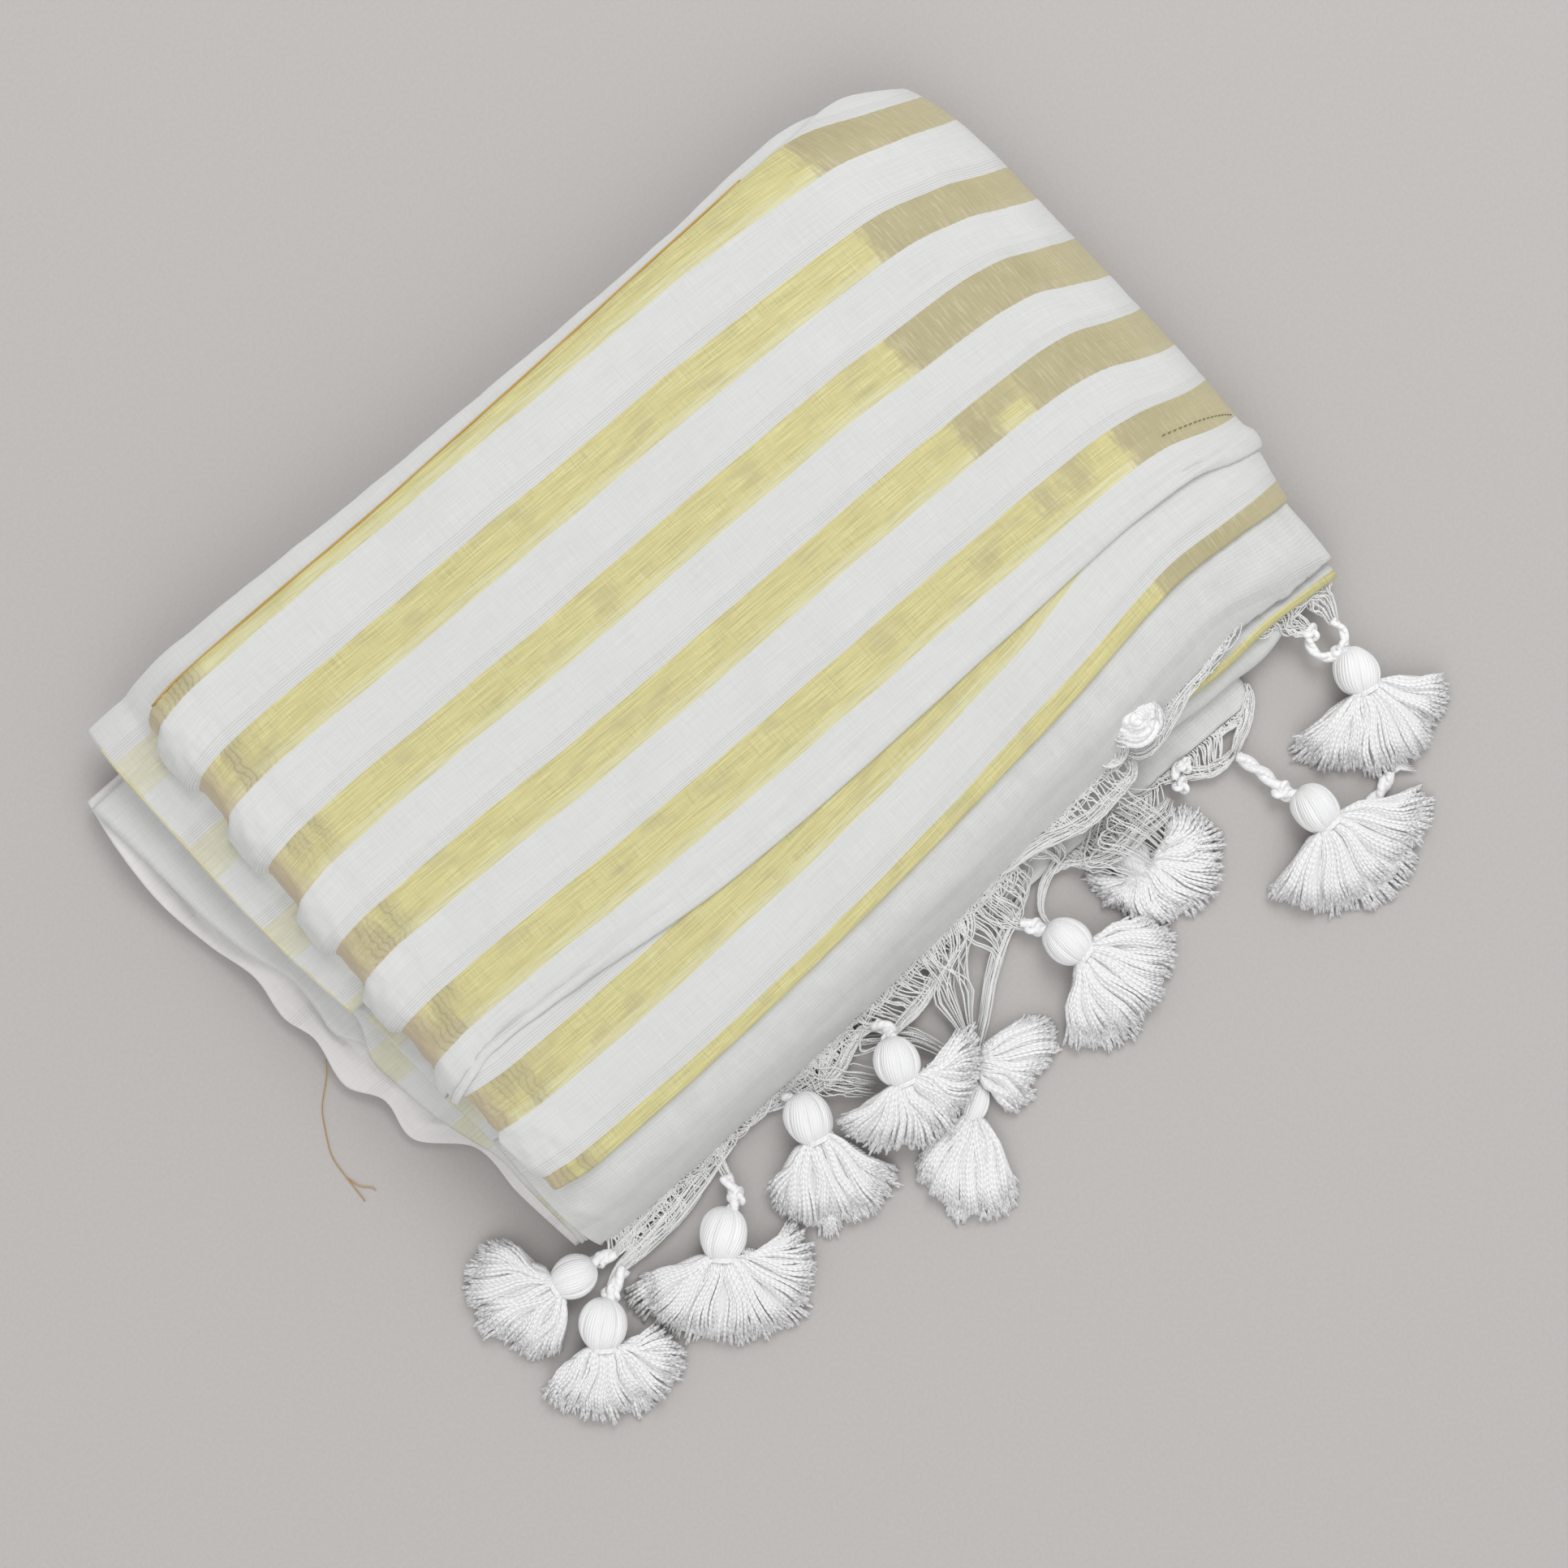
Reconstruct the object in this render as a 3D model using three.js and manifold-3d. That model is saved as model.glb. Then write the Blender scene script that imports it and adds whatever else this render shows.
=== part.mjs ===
// A cotton saree folded into a flat bundle, its striped pallu on top and its tasselled end in front.
// Millimetres, +Z up. +X runs along the bundle and its stripes, -Y is the side with the tassels.
// The origin is the centre of the flat underside, where the bundle rests.
import * as THREE from 'three';
import { mergeVertices } from 'three/addons/utils/BufferGeometryUtils.js';
import Module from 'manifold-3d';

const wasm = await Module();
wasm.setup();

// ---------------------------------------------------------------- driving sizes
const WALL = 1.2;                 // thickness of a cloth wall
const GAP = 0.3;                  // clearance between pieces that lie on each other
const STACK_TOP = 37.5;           // height of the hidden layers at the middle
const UNDER_LIFT = GAP + WALL / 2;                 // middle of the layer on the hidden ones
const PALLU_LIFT = 3 * GAP + 1.5 * WALL;           // middle of the layer on that one

const ROUND_START = 92;           // the right end starts to round off here
const ROUND_MID = 13;             // height of the right end's widest point
const ROUND_FOOT = 4.5;           // height where its wall ends, turned in
const ROUND_TUCK = 7;             // how far the wall turns in below the widest point
const FULL_TURN = 125;            // degrees turned at that end, 90 at the widest point

// How the hidden layers' top falls away towards three sides, and how far the loose left end droops past it.
const BACK_FALL = { from: 88, over: 22, drop: 8 };
const LEFT_FALL = { from: -126, over: 24, drop: 10.5 };
const FRONT_FALL = { from: -48, over: 38, drop: 2.2 };
const LEFT_DROOP = { from: -150, slope: 0.28 };

const BODY_LEFT = -145.5;         // left side of the hidden layers
const BODY_BACK = 100;            // back side of the hidden layers
const BODY_LAYERS = 7;            // layers that show at their edges
const LAYER_TOP = 27.5;           // height of the highest of them
const LAYER_BULGE = 2;            // how far each stands out past the grooves
const LAYER_UNEVEN = 1.2;         // how far one may lie behind the next
const BODY_FRONT_GAP = 5;         // the hidden layers' front side behind the end zone's hem

// Lines across the pallu: y at these stations of x. The last station is the right end's widest point.
const STATION_X = [-150, -130, -40, 60, 110, 140, 160];
const LINE_Y = {
  underBack: [108.0, 109.0, 107.0, 107.5, 109.5, 102.0, 95.5],
  backEdge: [95.0, 98.4, 99.5, 103.2, 104.2, 103.4, 96.0],
  stripe1Low: [90.0, 94.4, 94.8, 94.4, 91.3, 85.5, 81.0],
  stripe2Top: [71.0, 75.5, 75.8, 75.4, 72.6, 66.9, 60.5],
  stripe2Low: [57.5, 61.6, 61.8, 61.8, 59.9, 54.8, 47.5],
  stripe3Top: [39.2, 43.1, 43.5, 43.9, 42.0, 38.8, 31.5],
  stripe3Low: [24.8, 29.4, 29.6, 30.1, 28.0, 24.8, 16.0],
  stripe4Top: [7.8, 11.3, 11.0, 12.1, 11.5, 9.2, 2.2],
  stripe4Low: [-5.2, -1.9, -2.8, -1.8, -2.3, -5.0, -12.7],
  stripe5Top: [-22.3, -19.8, -20.6, -19.3, -19.3, -21.4, -27.0],
  stripe5Low: [-37.2, -33.8, -35.2, -34.0, -33.5, -35.0, -41.0],
  pleatTop: [-46.0, -40.8, -41.0, -39.8, -38.8, -40.4, -43.0],
  pleatLow: [-51.5, -43.8, -50.6, -48.0, -46.0, -47.3, -53.0],
  stripe6Low: [-62.0, -64.5, -62.3, -52.6, -50.0, -51.5, -56.5],
  stripe7Top: [-80.5, -83.0, -80.5, -69.6, -62.4, -63.0, -63.5],
  stripe7Low: [-84.5, -88.3, -84.4, -74.6, -67.3, -68.0, -69.5],
  endHem: [-109.5, -110.5, -106.5, -97.0, -90.0, -90.0, -86.0],
};
const END_HEM_Z = [4.0, 4.0, 5.0, 15.0, 21.0, 20.0, 12.0];   // the end's hem above the floor, same stations

// The right end's widest x, inside the pallu, by y.
const END_REACH = [
  { y: -100, x: 150.0 },
  { y: -70, x: 155.5 },
  { y: -45, x: 159.0 },
  { y: -20, x: 159.5 },
  { y: 11, x: 158.0 },
  { y: 44, x: 156.0 },
  { y: 75, x: 153.5 },
  { y: 95, x: 148.0 },
  { y: 110, x: 138.0 },
];

// The left end of the pallu puffs up over the layers below and comes down on them: height above them by x.
const LEFT_PUFF = [
  { x: -147.8, rise: 1.0 },
  { x: -146, rise: 3.9 },
  { x: -143.2, rise: 5.6 },
  { x: -139.5, rise: 5.3 },
  { x: -135, rise: 3.1 },
  { x: -130.5, rise: 1.5 },
  { x: -124, rise: 0.5 },
  { x: -116, rise: 0 },
];

// Outer edge of the lowest white layer at the left: y, x, and its height.
const LAYER_B_EDGE = [
  { y: 95, x: -180.5, z: 6.5 },
  { y: 76, x: -182.5, z: 9.5 },
  { y: 56, x: -183.5, z: 6.5 },
  { y: 36, x: -180.5, z: 4.5 },
  { y: 20, x: -175.8, z: 7.5 },
  { y: 5, x: -177.5, z: 4.5 },
  { y: -6, x: -174.0, z: 6.5 },
  { y: -23, x: -176.5, z: 4.0 },
  { y: -34, x: -169.8, z: 6.0 },
  { y: -49, x: -171.0, z: 3.5 },
  { y: -63, x: -158.0, z: 4.5 },
  { y: -82, x: -156.6, z: 6.5 },
  { y: -106, x: -154.0, z: 3.5 },
];

// Outer edge of the layer with pale bands at the left.
const LAYER_A_EDGE = [
  { y: 108, x: -165.0 },
  { y: 82, x: -164.2 },
  { y: 42, x: -162.7 },
  { y: 18, x: -160.7 },
  { y: -8, x: -156.8 },
];

// Fold edge of the second layer under the end zone.
const SECOND_EDGE = [
  { x: 44, y: -99.6, z: 9.5 },
  { x: 62, y: -98.6, z: 11.5 },
  { x: 90, y: -97.2, z: 15.0 },
  { x: 110, y: -97.6, z: 16.0 },
  { x: 130, y: -96.4, z: 15.0 },
  { x: 146, y: -97.4, z: 11.0 },
  { x: 153, y: -97.8, z: 8.5 },
];

// Tassels: head centre, head radius, the fan's two bounding angles (0 is +X, 270 is -Y), skirt length,
// how far it lies above the floor, and how much its head is flattened.
const TASSELS = [
  { x: 142, y: -124.5, r: 6.9, from: 192, to: 312, reach: 31, rise: 0, flat: 1 },
  { x: 105.5, y: -148.5, r: 7.0, from: 205, to: 322, reach: 34, rise: 0, flat: 1 },
  { x: 53, y: -123.2, r: 6.2, from: 244, to: 338, reach: 26, rise: 0, flat: 0.62 },
  { x: 21.5, y: -131, r: 7.0, from: 230, to: 318, reach: 34, rise: 0, flat: 1 },
  { x: -42, y: -125, r: 7.0, from: 196, to: 330, reach: 27, rise: 6.7, flat: 1 },
  { x: -26, y: -139, r: 4.6, from: 288, to: 350, reach: 26, rise: 0, flat: 0.58 },
  { x: -32, y: -150.8, r: 4.6, from: 200, to: 252, reach: 34, rise: 0, flat: 0.58 },
  { x: -74, y: -121.5, r: 7.4, from: 212, to: 278, reach: 35, rise: 0, flat: 1 },
  { x: -116.5, y: -132, r: 7.5, from: 192, to: 312, reach: 33, rise: 0, flat: 1 },
  { x: -160, y: -112.5, r: 6.6, from: 120, to: 196, reach: 32, rise: 0, flat: 1 },
  { x: -162.5, y: -129.5, r: 7.4, from: 208, to: 284, reach: 29, rise: 0, flat: 1 },
];

// Cords that tie the tassels to the fringe, from the head up: points of x, y, z, by the tassels' numbers.
const CORDS = {
  1: [[142, -118, 8], [141, -112, 8], [139, -105, 9], [137, -98, 7]],
  2: [[103.5, -142, 7], [101, -135, 4.5], [99, -127, 4.5], [97.5, -119, 4.5]],
  4: [[19, -125, 6], [16.5, -120.5, 4.5], [13, -116, 4.2]],
  5: [[-38, -120, 12], [-36.5, -116.5, 9], [-39.5, -113.5, 7]],
  9: [[-110, -128, 8], [-106, -125, 5], [-105.5, -119.5, 4]],
  10: [[-154, -112, 6.5], [-150.5, -114.5, 5], [-148.5, -117.5, 4]],
  11: [[-157, -125, 7], [-152.5, -123.5, 5], [-147.5, -121.5, 4]],
};

// Fringe on the two cut edges: the stretch of hem, strand count and length, and the strands' lean along x.
const FRINGES = [
  { name: 'fringe_end_left', from: -144, to: -92, strands: 20, length: 8, lean: -3 },
  { name: 'fringe_end_middle', from: -89, to: -48, strands: 16, length: 6, lean: 2 },
  { name: 'fringe_end_centre', from: -30, to: 28, strands: 20, length: 7, lean: -4 },
];
const THIRD_FRINGE = { name: 'fringe_third', from: 26, to: 110, strands: 28, length: 6.5, lean: 1.5 };
const STRAND_HALF_WIDTH = 0.7;
const STRAND_TIP_Z = 1.2;         // strands end just above the floor
const HEM_PART = 1.9;             // the end's fringe strip starts this far in front of the hem line
// The hem strip's corners in y and z.
const HEM_SECTION = [[-0.9, -0.7], [-0.9, 0.7], [-2.7, 0.6], [-2.7, -0.6]];

const WHITE = '#f2f2f2';
const GOLD_WHITE = '#e6e0b4';
const YARN = '#fbfbfc';

// ---------------------------------------------------------------- small maths
const radians = THREE.MathUtils.degToRad;
const mix = THREE.MathUtils.lerp;
const point = (x, y, z) => new THREE.Vector3(x, y, z);

// Smooth curve through values at rising keys, read at one key.
function smoothRead(keys, values, key) {
  const last = keys.length - 1;
  const at = THREE.MathUtils.clamp(key, keys[0], keys[last]);
  let i = 0;
  while (i < last - 1 && at > keys[i + 1]) i += 1;
  const span = keys[i + 1] - keys[i];
  const slope = (j) => {
    const a = Math.max(j - 1, 0);
    const b = Math.min(j + 1, last);
    return (values[b] - values[a]) / (keys[b] - keys[a]);
  };
  const t = (at - keys[i]) / span;
  const t2 = t * t;
  const t3 = t2 * t;
  return (2 * t3 - 3 * t2 + 1) * values[i] + (t3 - 2 * t2 + t) * span * slope(i)
    + (3 * t2 - 2 * t3) * values[i + 1] + (t3 - t2) * span * slope(i + 1);
}

// Reads one column of a table of rows at a value of another column.
function readTable(rows, keyName, valueName, key) {
  const sorted = [...rows].sort((a, b) => a[keyName] - b[keyName]);
  return smoothRead(sorted.map((row) => row[keyName]), sorted.map((row) => row[valueName]), key);
}

const lineY = (name, x) => smoothRead(STATION_X, LINE_Y[name], x);
const endHemZ = (x) => smoothRead(STATION_X, END_HEM_Z, x);
const endReach = (y) => readTable(END_REACH, 'y', 'x', y);

// ---------------------------------------------------------------- closed bodies
// A closed geometry from points and triangles, its faces turned to point out.
function closedGeometry(points, triangles) {
  let volume = 0;
  for (const [a, b, c] of triangles) {
    volume += points[a].dot(point(0, 0, 0).crossVectors(points[b], points[c]));
  }
  const index = triangles.flatMap(([a, b, c]) => (volume > 0 ? [a, b, c] : [a, c, b]));
  const places = points.flatMap((p) => p.toArray());
  const geometry = new THREE.BufferGeometry();
  geometry.setAttribute('position', new THREE.Float32BufferAttribute(places, 3));
  geometry.setIndex(index);
  return geometry;
}

// A solid through closed rings of the same count, its two ends closed by fans.
function ringSolid(rings) {
  const count = rings[0].length;
  const points = rings.flat();
  const triangles = [];
  for (let r = 0; r + 1 < rings.length; r += 1) {
    for (let i = 0; i < count; i += 1) {
      const j = (i + 1) % count;
      const a = r * count + i;
      const b = r * count + j;
      triangles.push([a, b, b + count], [a, b + count, a + count]);
    }
  }
  for (const [r, flip] of [[0, true], [rings.length - 1, false]]) {
    const [a, b, c] = [0, 1, 2].map((i) => r * count + i);
    if (count === 3) {
      triangles.push(flip ? [a, c, b] : [a, b, c]);
      continue;
    }
    const middle = rings[r].reduce((sum, p) => sum.add(p), point(0, 0, 0)).divideScalar(count);
    const hub = points.push(middle) - 1;
    for (let i = 0; i < count; i += 1) {
      const here = r * count + i;
      const next = r * count + ((i + 1) % count);
      triangles.push(flip ? [hub, next, here] : [hub, here, next]);
    }
  }
  return closedGeometry(points, triangles);
}

// Unit normals of a grid of points.
function gridNormals(grid) {
  return grid.map((row, i) => row.map((_, j) => {
    const before = grid[Math.max(i - 1, 0)][j];
    const after = grid[Math.min(i + 1, grid.length - 1)][j];
    const left = row[Math.max(j - 1, 0)];
    const right = row[Math.min(j + 1, row.length - 1)];
    return after.clone().sub(before).cross(right.clone().sub(left)).normalize();
  }));
}

// Moves a grid of points along its normals, outward being up.
function liftGrid(grid, lift) {
  const normals = gridNormals(grid);
  const middle = normals[Math.floor(grid.length / 2)][Math.floor(grid[0].length / 3)];
  const sign = middle.z >= 0 ? 1 : -1;
  return grid.map((row, i) => row.map((p, j) => p.clone().addScaledVector(normals[i][j], sign * lift)));
}

// A closed cloth wall whose middle is a grid of points.
function clothWall(grid) {
  const rows = grid.length;
  const columns = grid[0].length;
  const outer = liftGrid(grid, WALL / 2);
  const inner = liftGrid(grid, -WALL / 2);
  const points = [...outer.flat(), ...inner.flat()];
  const under = rows * columns;
  const triangles = [];
  const at = (i, j) => i * columns + j;
  for (let i = 0; i + 1 < rows; i += 1) {
    for (let j = 0; j + 1 < columns; j += 1) {
      const [a, b, c, d] = [at(i, j), at(i, j + 1), at(i + 1, j + 1), at(i + 1, j)];
      triangles.push([a, b, c], [a, c, d]);
      triangles.push([under + a, under + c, under + b], [under + a, under + d, under + c]);
    }
  }
  const rim = [];
  for (let j = 0; j + 1 < columns; j += 1) rim.push([at(0, j), at(0, j + 1)]);
  for (let i = 0; i + 1 < rows; i += 1) rim.push([at(i, columns - 1), at(i + 1, columns - 1)]);
  for (let j = columns - 1; j > 0; j -= 1) rim.push([at(rows - 1, j), at(rows - 1, j - 1)]);
  for (let i = rows - 1; i > 0; i -= 1) rim.push([at(i, 0), at(i - 1, 0)]);
  for (const [a, b] of rim) triangles.push([a, under + a, under + b], [a, under + b, b]);
  return closedGeometry(points, triangles);
}

// Joins closed geometries into one solid.
function join(geometries) {
  const solids = geometries.map((geometry) => {
    const merged = mergeVertices(geometry);
    return new wasm.Manifold(new wasm.Mesh({
      numProp: 3,
      vertProperties: new Float32Array(merged.attributes.position.array),
      triVerts: new Uint32Array(merged.index.array),
    }));
  });
  const whole = solids.slice(1).reduce((sum, solid) => sum.add(solid), solids[0]);
  const mesh = whole.getMesh();
  const geometry = new THREE.BufferGeometry();
  geometry.setAttribute('position', new THREE.Float32BufferAttribute(mesh.vertProperties, 3));
  geometry.setIndex([...mesh.triVerts]);
  return geometry;
}

// ---------------------------------------------------------------- the bundle's form
// Height of the hidden layers: nearly flat, with low waves, and falling away at the back, left and front.
function stackHeight(x, y) {
  const fall = ({ over, drop }, past) => drop * THREE.MathUtils.clamp(past / over, 0, 1) ** 2;
  const falls = fall(BACK_FALL, y - BACK_FALL.from) + fall(LEFT_FALL, LEFT_FALL.from - x)
    + fall(FRONT_FALL, FRONT_FALL.from - y) + LEFT_DROOP.slope * Math.max(0, LEFT_DROOP.from - x);
  const waves = 0.5 * Math.sin(x / 31 + y / 47) + 0.35 * Math.sin(x / 13 - y / 29);
  return STACK_TOP - falls + waves;
}

// Columns of every sheet, as x on the flat part and as a turn in degrees where the right end rounds off.
const FLAT_X = [-147.8, -146, -143.2, -139.5, -135, -130, -120, -102, -80, -58, -36, -14, 8, 30, 52, 74,
  ROUND_START];
const TURNS = [14, 28, 42, 56, 70, 82, 94, FULL_TURN];
const COLUMNS = [
  ...FLAT_X.map((x) => ({ x, turn: 0 })),
  ...TURNS.map((turn) => ({ x: ROUND_START, turn })),
];

// The plan x of a column at a given y.
function columnX(column, y) {
  if (column.turn === 0) return column.x;
  const reach = endReach(y) - ROUND_START;
  if (column.turn <= 90) return ROUND_START + reach * Math.sin(radians(column.turn));
  const past = (column.turn - 90) / (FULL_TURN - 90);
  return ROUND_START + reach - ROUND_TUCK * past * past;
}

// A point of the bundle's surface: height is what the flat part has there, and the right end lowers it.
function bundlePoint(column, y, height) {
  const x = columnX(column, y);
  const middle = Math.min(height, ROUND_MID);
  if (column.turn <= 90) return point(x, y, middle + (height - middle) * Math.cos(radians(column.turn)));
  const past = (column.turn - 90) / (FULL_TURN - 90);
  return point(x, y, mix(middle, Math.min(middle, ROUND_FOOT), past));
}

// The y of a line on a column: found again once, because the right end's reach depends on it.
function columnLineY(column, name) {
  const first = lineY(name, columnX(column, lineY(name, column.x)));
  const reached = columnX(column, first);
  if (column.turn === 0) return lineY(name, reached);
  const share = Math.sin(radians(Math.min(column.turn, 90))) ** 4;
  return lineY(name, mix(reached, STATION_X.at(-1), share));
}

const SLOPE_TUCK = 5;             // the slope in front starts this far behind the fold edge
const SLOPE_BOW = 0.72;           // where along it the slope bends down
const SLOPE_SAG = 2.5;            // how far it has come down there

// The slope in front, from under the fold edge to the end's hem: t runs from 0 to 1.
function frontPoint(x, t) {
  const top = lineY('stripe7Low', x) + SLOPE_TUCK;
  const hem = lineY('endHem', x);
  const topZ = stackHeight(x, top);
  const hemZ = endHemZ(x) - UNDER_LIFT;
  const [a, b, c] = [(1 - t) ** 2, 2 * t * (1 - t), t * t];
  return {
    y: a * top + b * mix(top, hem, SLOPE_BOW) + c * hem,
    z: a * topZ + b * (topZ - SLOPE_SAG) + c * hemZ,
  };
}

// ---------------------------------------------------------------- the sheets
function pallu(lines) {
  return lines.map(({ from, to, part }) => COLUMNS.map((column) => {
    const y = mix(columnLineY(column, from), columnLineY(column, to ?? from), part ?? 0);
    const x = columnX(column, y);
    const puff = column.turn === 0 ? readTable(LEFT_PUFF, 'x', 'rise', x) : 0;
    return bundlePoint(column, y, stackHeight(x, y) + puff);
  }));
}

function palluTop() {
  const names = ['stripe1Low', 'stripe2Top', 'stripe2Low', 'stripe3Top', 'stripe3Low', 'stripe4Top',
    'stripe4Low', 'stripe5Top', 'stripe5Low'];
  const lines = [{ from: 'backEdge' }, { from: 'backEdge', to: 'stripe1Low', part: 0.5 }];
  names.forEach((name, i) => {
    lines.push({ from: name });
    if (i % 2 === 0 && i + 1 < names.length) lines.push({ from: name, to: names[i + 1], part: 0.5 });
  });
  lines.push({ from: 'pleatTop' });
  return clothWall(liftGrid(pallu(lines), PALLU_LIFT));
}

// The pleat's section: how far across it from its crease, and the height above the hidden layers.
const PLEAT_SECTION = [
  { across: 0.04, rise: 2.0 },
  { across: 0.06, rise: 3.2 },
  { across: 0.3, rise: 4.8 },
  { across: 0.65, rise: 5.6 },
  { across: 0.92, rise: 5.2 },
  { across: 1.0, rise: 4.4 },
  { across: 0.88, rise: 3.5 },
  { across: 0.4, rise: 3.4 },
  { across: 0.38, rise: 2.0 },
];
const PLEAT_TUCK = 0.46;          // the lower sheet starts this far across the pleat

function palluPleat() {
  const middle = { from: 'pleatTop', to: 'pleatLow', part: 0.5 };
  const grid = pallu([{ from: 'pleatTop' }, middle, { from: 'pleatLow' }]);
  const normals = gridNormals(grid);
  const rings = COLUMNS.map((_, j) => PLEAT_SECTION.map(({ across, rise }) => {
    const up = normals[1][j].clone();
    if (normals[1][5].z < 0) up.negate();
    return grid[0][j].clone().lerp(grid[2][j], across * 0.94 + 0.05).addScaledVector(up, rise);
  }));
  return ringSolid(rings);
}

function palluMid() {
  const lines = [
    { from: 'pleatTop', to: 'pleatLow', part: PLEAT_TUCK + 0.06 },
    { from: 'pleatLow' },
    { from: 'stripe6Low' },
    { from: 'stripe6Low', to: 'stripe7Top', part: 0.5 },
    { from: 'stripe7Top' },
    { from: 'stripe7Low' },
  ];
  return clothWall(liftGrid(pallu(lines), PALLU_LIFT));
}

const END_STEPS = [0, 0.2, 0.4, 0.6, 0.8, 1];
const END_COLUMNS = COLUMNS.filter(({ x, turn }) => x > -148 && turn < 100);

function palluEnd() {
  const grid = END_STEPS.map((t) => END_COLUMNS.map((column) => {
    const x = columnX(column, lineY('endHem', column.x));
    const { y, z } = frontPoint(x, t);
    return bundlePoint(column, y, z);
  }));
  return clothWall(liftGrid(grid, UNDER_LIFT));
}

const LAYER_A_FRONT = -8;         // front edge of the layer with pale bands
const LAYER_A_STEPS = [0, 0.06, 0.14, 0.3, 0.6, 1];

function underLayerA() {
  const inner = COLUMNS.filter(({ x, turn }) => x >= -146.5 && turn < 90);
  const grid = LAYER_A_STEPS.map((step) => {
    const outerY = mix(lineY('underBack', LEFT_DROOP.from), LAYER_A_FRONT, step);
    const outerX = readTable(LAYER_A_EDGE, 'y', 'x', outerY);
    const loose = [outerX, mix(outerX, inner[0].x, 0.5)]
      .map((x) => point(x, outerY, stackHeight(x, outerY)));
    const laid = inner.map((column) => {
      const y = mix(columnLineY(column, 'underBack'), LAYER_A_FRONT, step);
      return bundlePoint(column, y, stackHeight(columnX(column, y), y));
    });
    return [...loose, ...laid];
  });
  return clothWall(liftGrid(grid, UNDER_LIFT));
}

function underLayerB() {
  const inner = BODY_LEFT - GAP - 0.3;
  const grid = LAYER_B_EDGE.map(({ y, x, z }, i) => [0, 0.25, 0.5, 0.75, 1].map((t) => {
    const wave = 1.3 * Math.sin(i * 1.9) * Math.sin(Math.PI * t);
    return point(mix(inner, x, t), y, mix(10.5, z, t) + wave);
  }));
  return clothWall(grid);
}

// ---------------------------------------------------------------- the hidden layers
const SEARCH_STEPS = 18;          // halvings that find a place on the slope in front
const RING_SIDE = 14;             // points along each side of a ring
const CORNER_POWER = 10;          // squareness of the plan

// Points round a square with rounded corners, from -1 to 1.
function squareRing() {
  const corners = [[-1, -1], [1, -1], [1, 1], [-1, 1]];
  return corners.flatMap(([cx, cy], k) => Array.from({ length: RING_SIDE }, (_, i) => {
    const [nx, ny] = corners[(k + 1) % 4];
    const a = mix(cx, nx, i / RING_SIDE);
    const b = mix(cy, ny, i / RING_SIDE);
    const size = (Math.abs(a) ** CORNER_POWER + Math.abs(b) ** CORNER_POWER) ** (1 / CORNER_POWER);
    return { a: a / size, b: b / size };
  }));
}

// Front side of the hidden layers at a height: on the slope above the hem, and straight below it.
function bodyFront(x, z) {
  const hem = frontPoint(x, 1);
  if (z <= hem.z) return hem.y + BODY_FRONT_GAP;
  let [low, high] = [0, 1];
  for (let i = 0; i < SEARCH_STEPS; i += 1) {
    const t = (low + high) / 2;
    if (frontPoint(x, t).z > z) low = t;
    else high = t;
  }
  return frontPoint(x, low).y + mix(BODY_FRONT_GAP, 1.5, THREE.MathUtils.clamp((z - hem.z) / 12, 0, 1));
}

// Right side of the hidden layers at a height.
function bodyRight(y, z) {
  const reach = endReach(y) - ROUND_START;
  const below = (ROUND_MID - z) / (ROUND_MID - ROUND_FOOT);
  if (z <= ROUND_MID) return ROUND_START + reach - ROUND_TUCK * below ** 2;
  const share = (z - ROUND_MID) / (STACK_TOP - ROUND_MID + 2);
  return ROUND_START + reach * Math.sqrt(Math.max(0, 1 - share * share));
}

function bodyRing(z, inset, scale = 1) {
  return squareRing().map(({ a, b }) => {
    const right = bodyRight(mix(-80, 95, (b + 1) / 2), z) - 2.2;
    const x = mix((BODY_LEFT + right) / 2, a > 0 ? right - inset : BODY_LEFT + inset, Math.abs(a) * scale);
    const front = bodyFront(x, z);
    const side = b > 0 ? BODY_BACK - inset : front + inset;
    return { x, y: mix((BODY_BACK + front) / 2, side, Math.abs(b) * scale) };
  });
}

// Rings that close the top: how far in from the sides, and drawn in towards the middle by a scale.
const SHOULDER_RINGS = [
  { inset: 5, scale: 1 },
  { inset: 9, scale: 1 },
  { inset: 12, scale: 0.82 },
  { inset: 12, scale: 0.5 },
  { inset: 12, scale: 0.2 },
];

function bodyStack() {
  const rings = [];
  const layer = LAYER_TOP / BODY_LAYERS;
  for (let k = 0; k < BODY_LAYERS; k += 1) {
    const back = LAYER_UNEVEN * Math.abs(Math.sin(k * 2.1));
    for (const [share, inset] of [[0, LAYER_BULGE], [0.5, 0]]) {
      const z = layer * (k + share);
      rings.push(bodyRing(z, inset + back).map(({ x, y }) => point(x, y, z)));
    }
  }
  rings.push(bodyRing(LAYER_TOP, LAYER_BULGE).map(({ x, y }) => point(x, y, LAYER_TOP)));
  for (const { inset, scale } of SHOULDER_RINGS) {
    rings.push(bodyRing(LAYER_TOP + 6, inset, scale).map(({ x, y }) => point(x, y, bodyTop(x, y, inset))));
  }
  return ringSolid(rings);
}

// Top of the hidden layers, held inside the sheets that come down at the right end and in front.
function bodyTop(x, y, inset) {
  const shoulder = inset < 9 ? 2.6 : 0;
  const past = Math.max(0, (x - ROUND_START) / (endReach(y) - ROUND_START));
  const flat = stackHeight(Math.min(x, ROUND_START), y) - shoulder;
  const rounded = ROUND_MID + (flat - ROUND_MID) * Math.sqrt(Math.max(0, 1 - past * past));
  const front = frontHeight(x, y);
  return Math.min(past > 0 ? rounded - 0.6 : flat - 0.3, front - 0.8);
}

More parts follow.
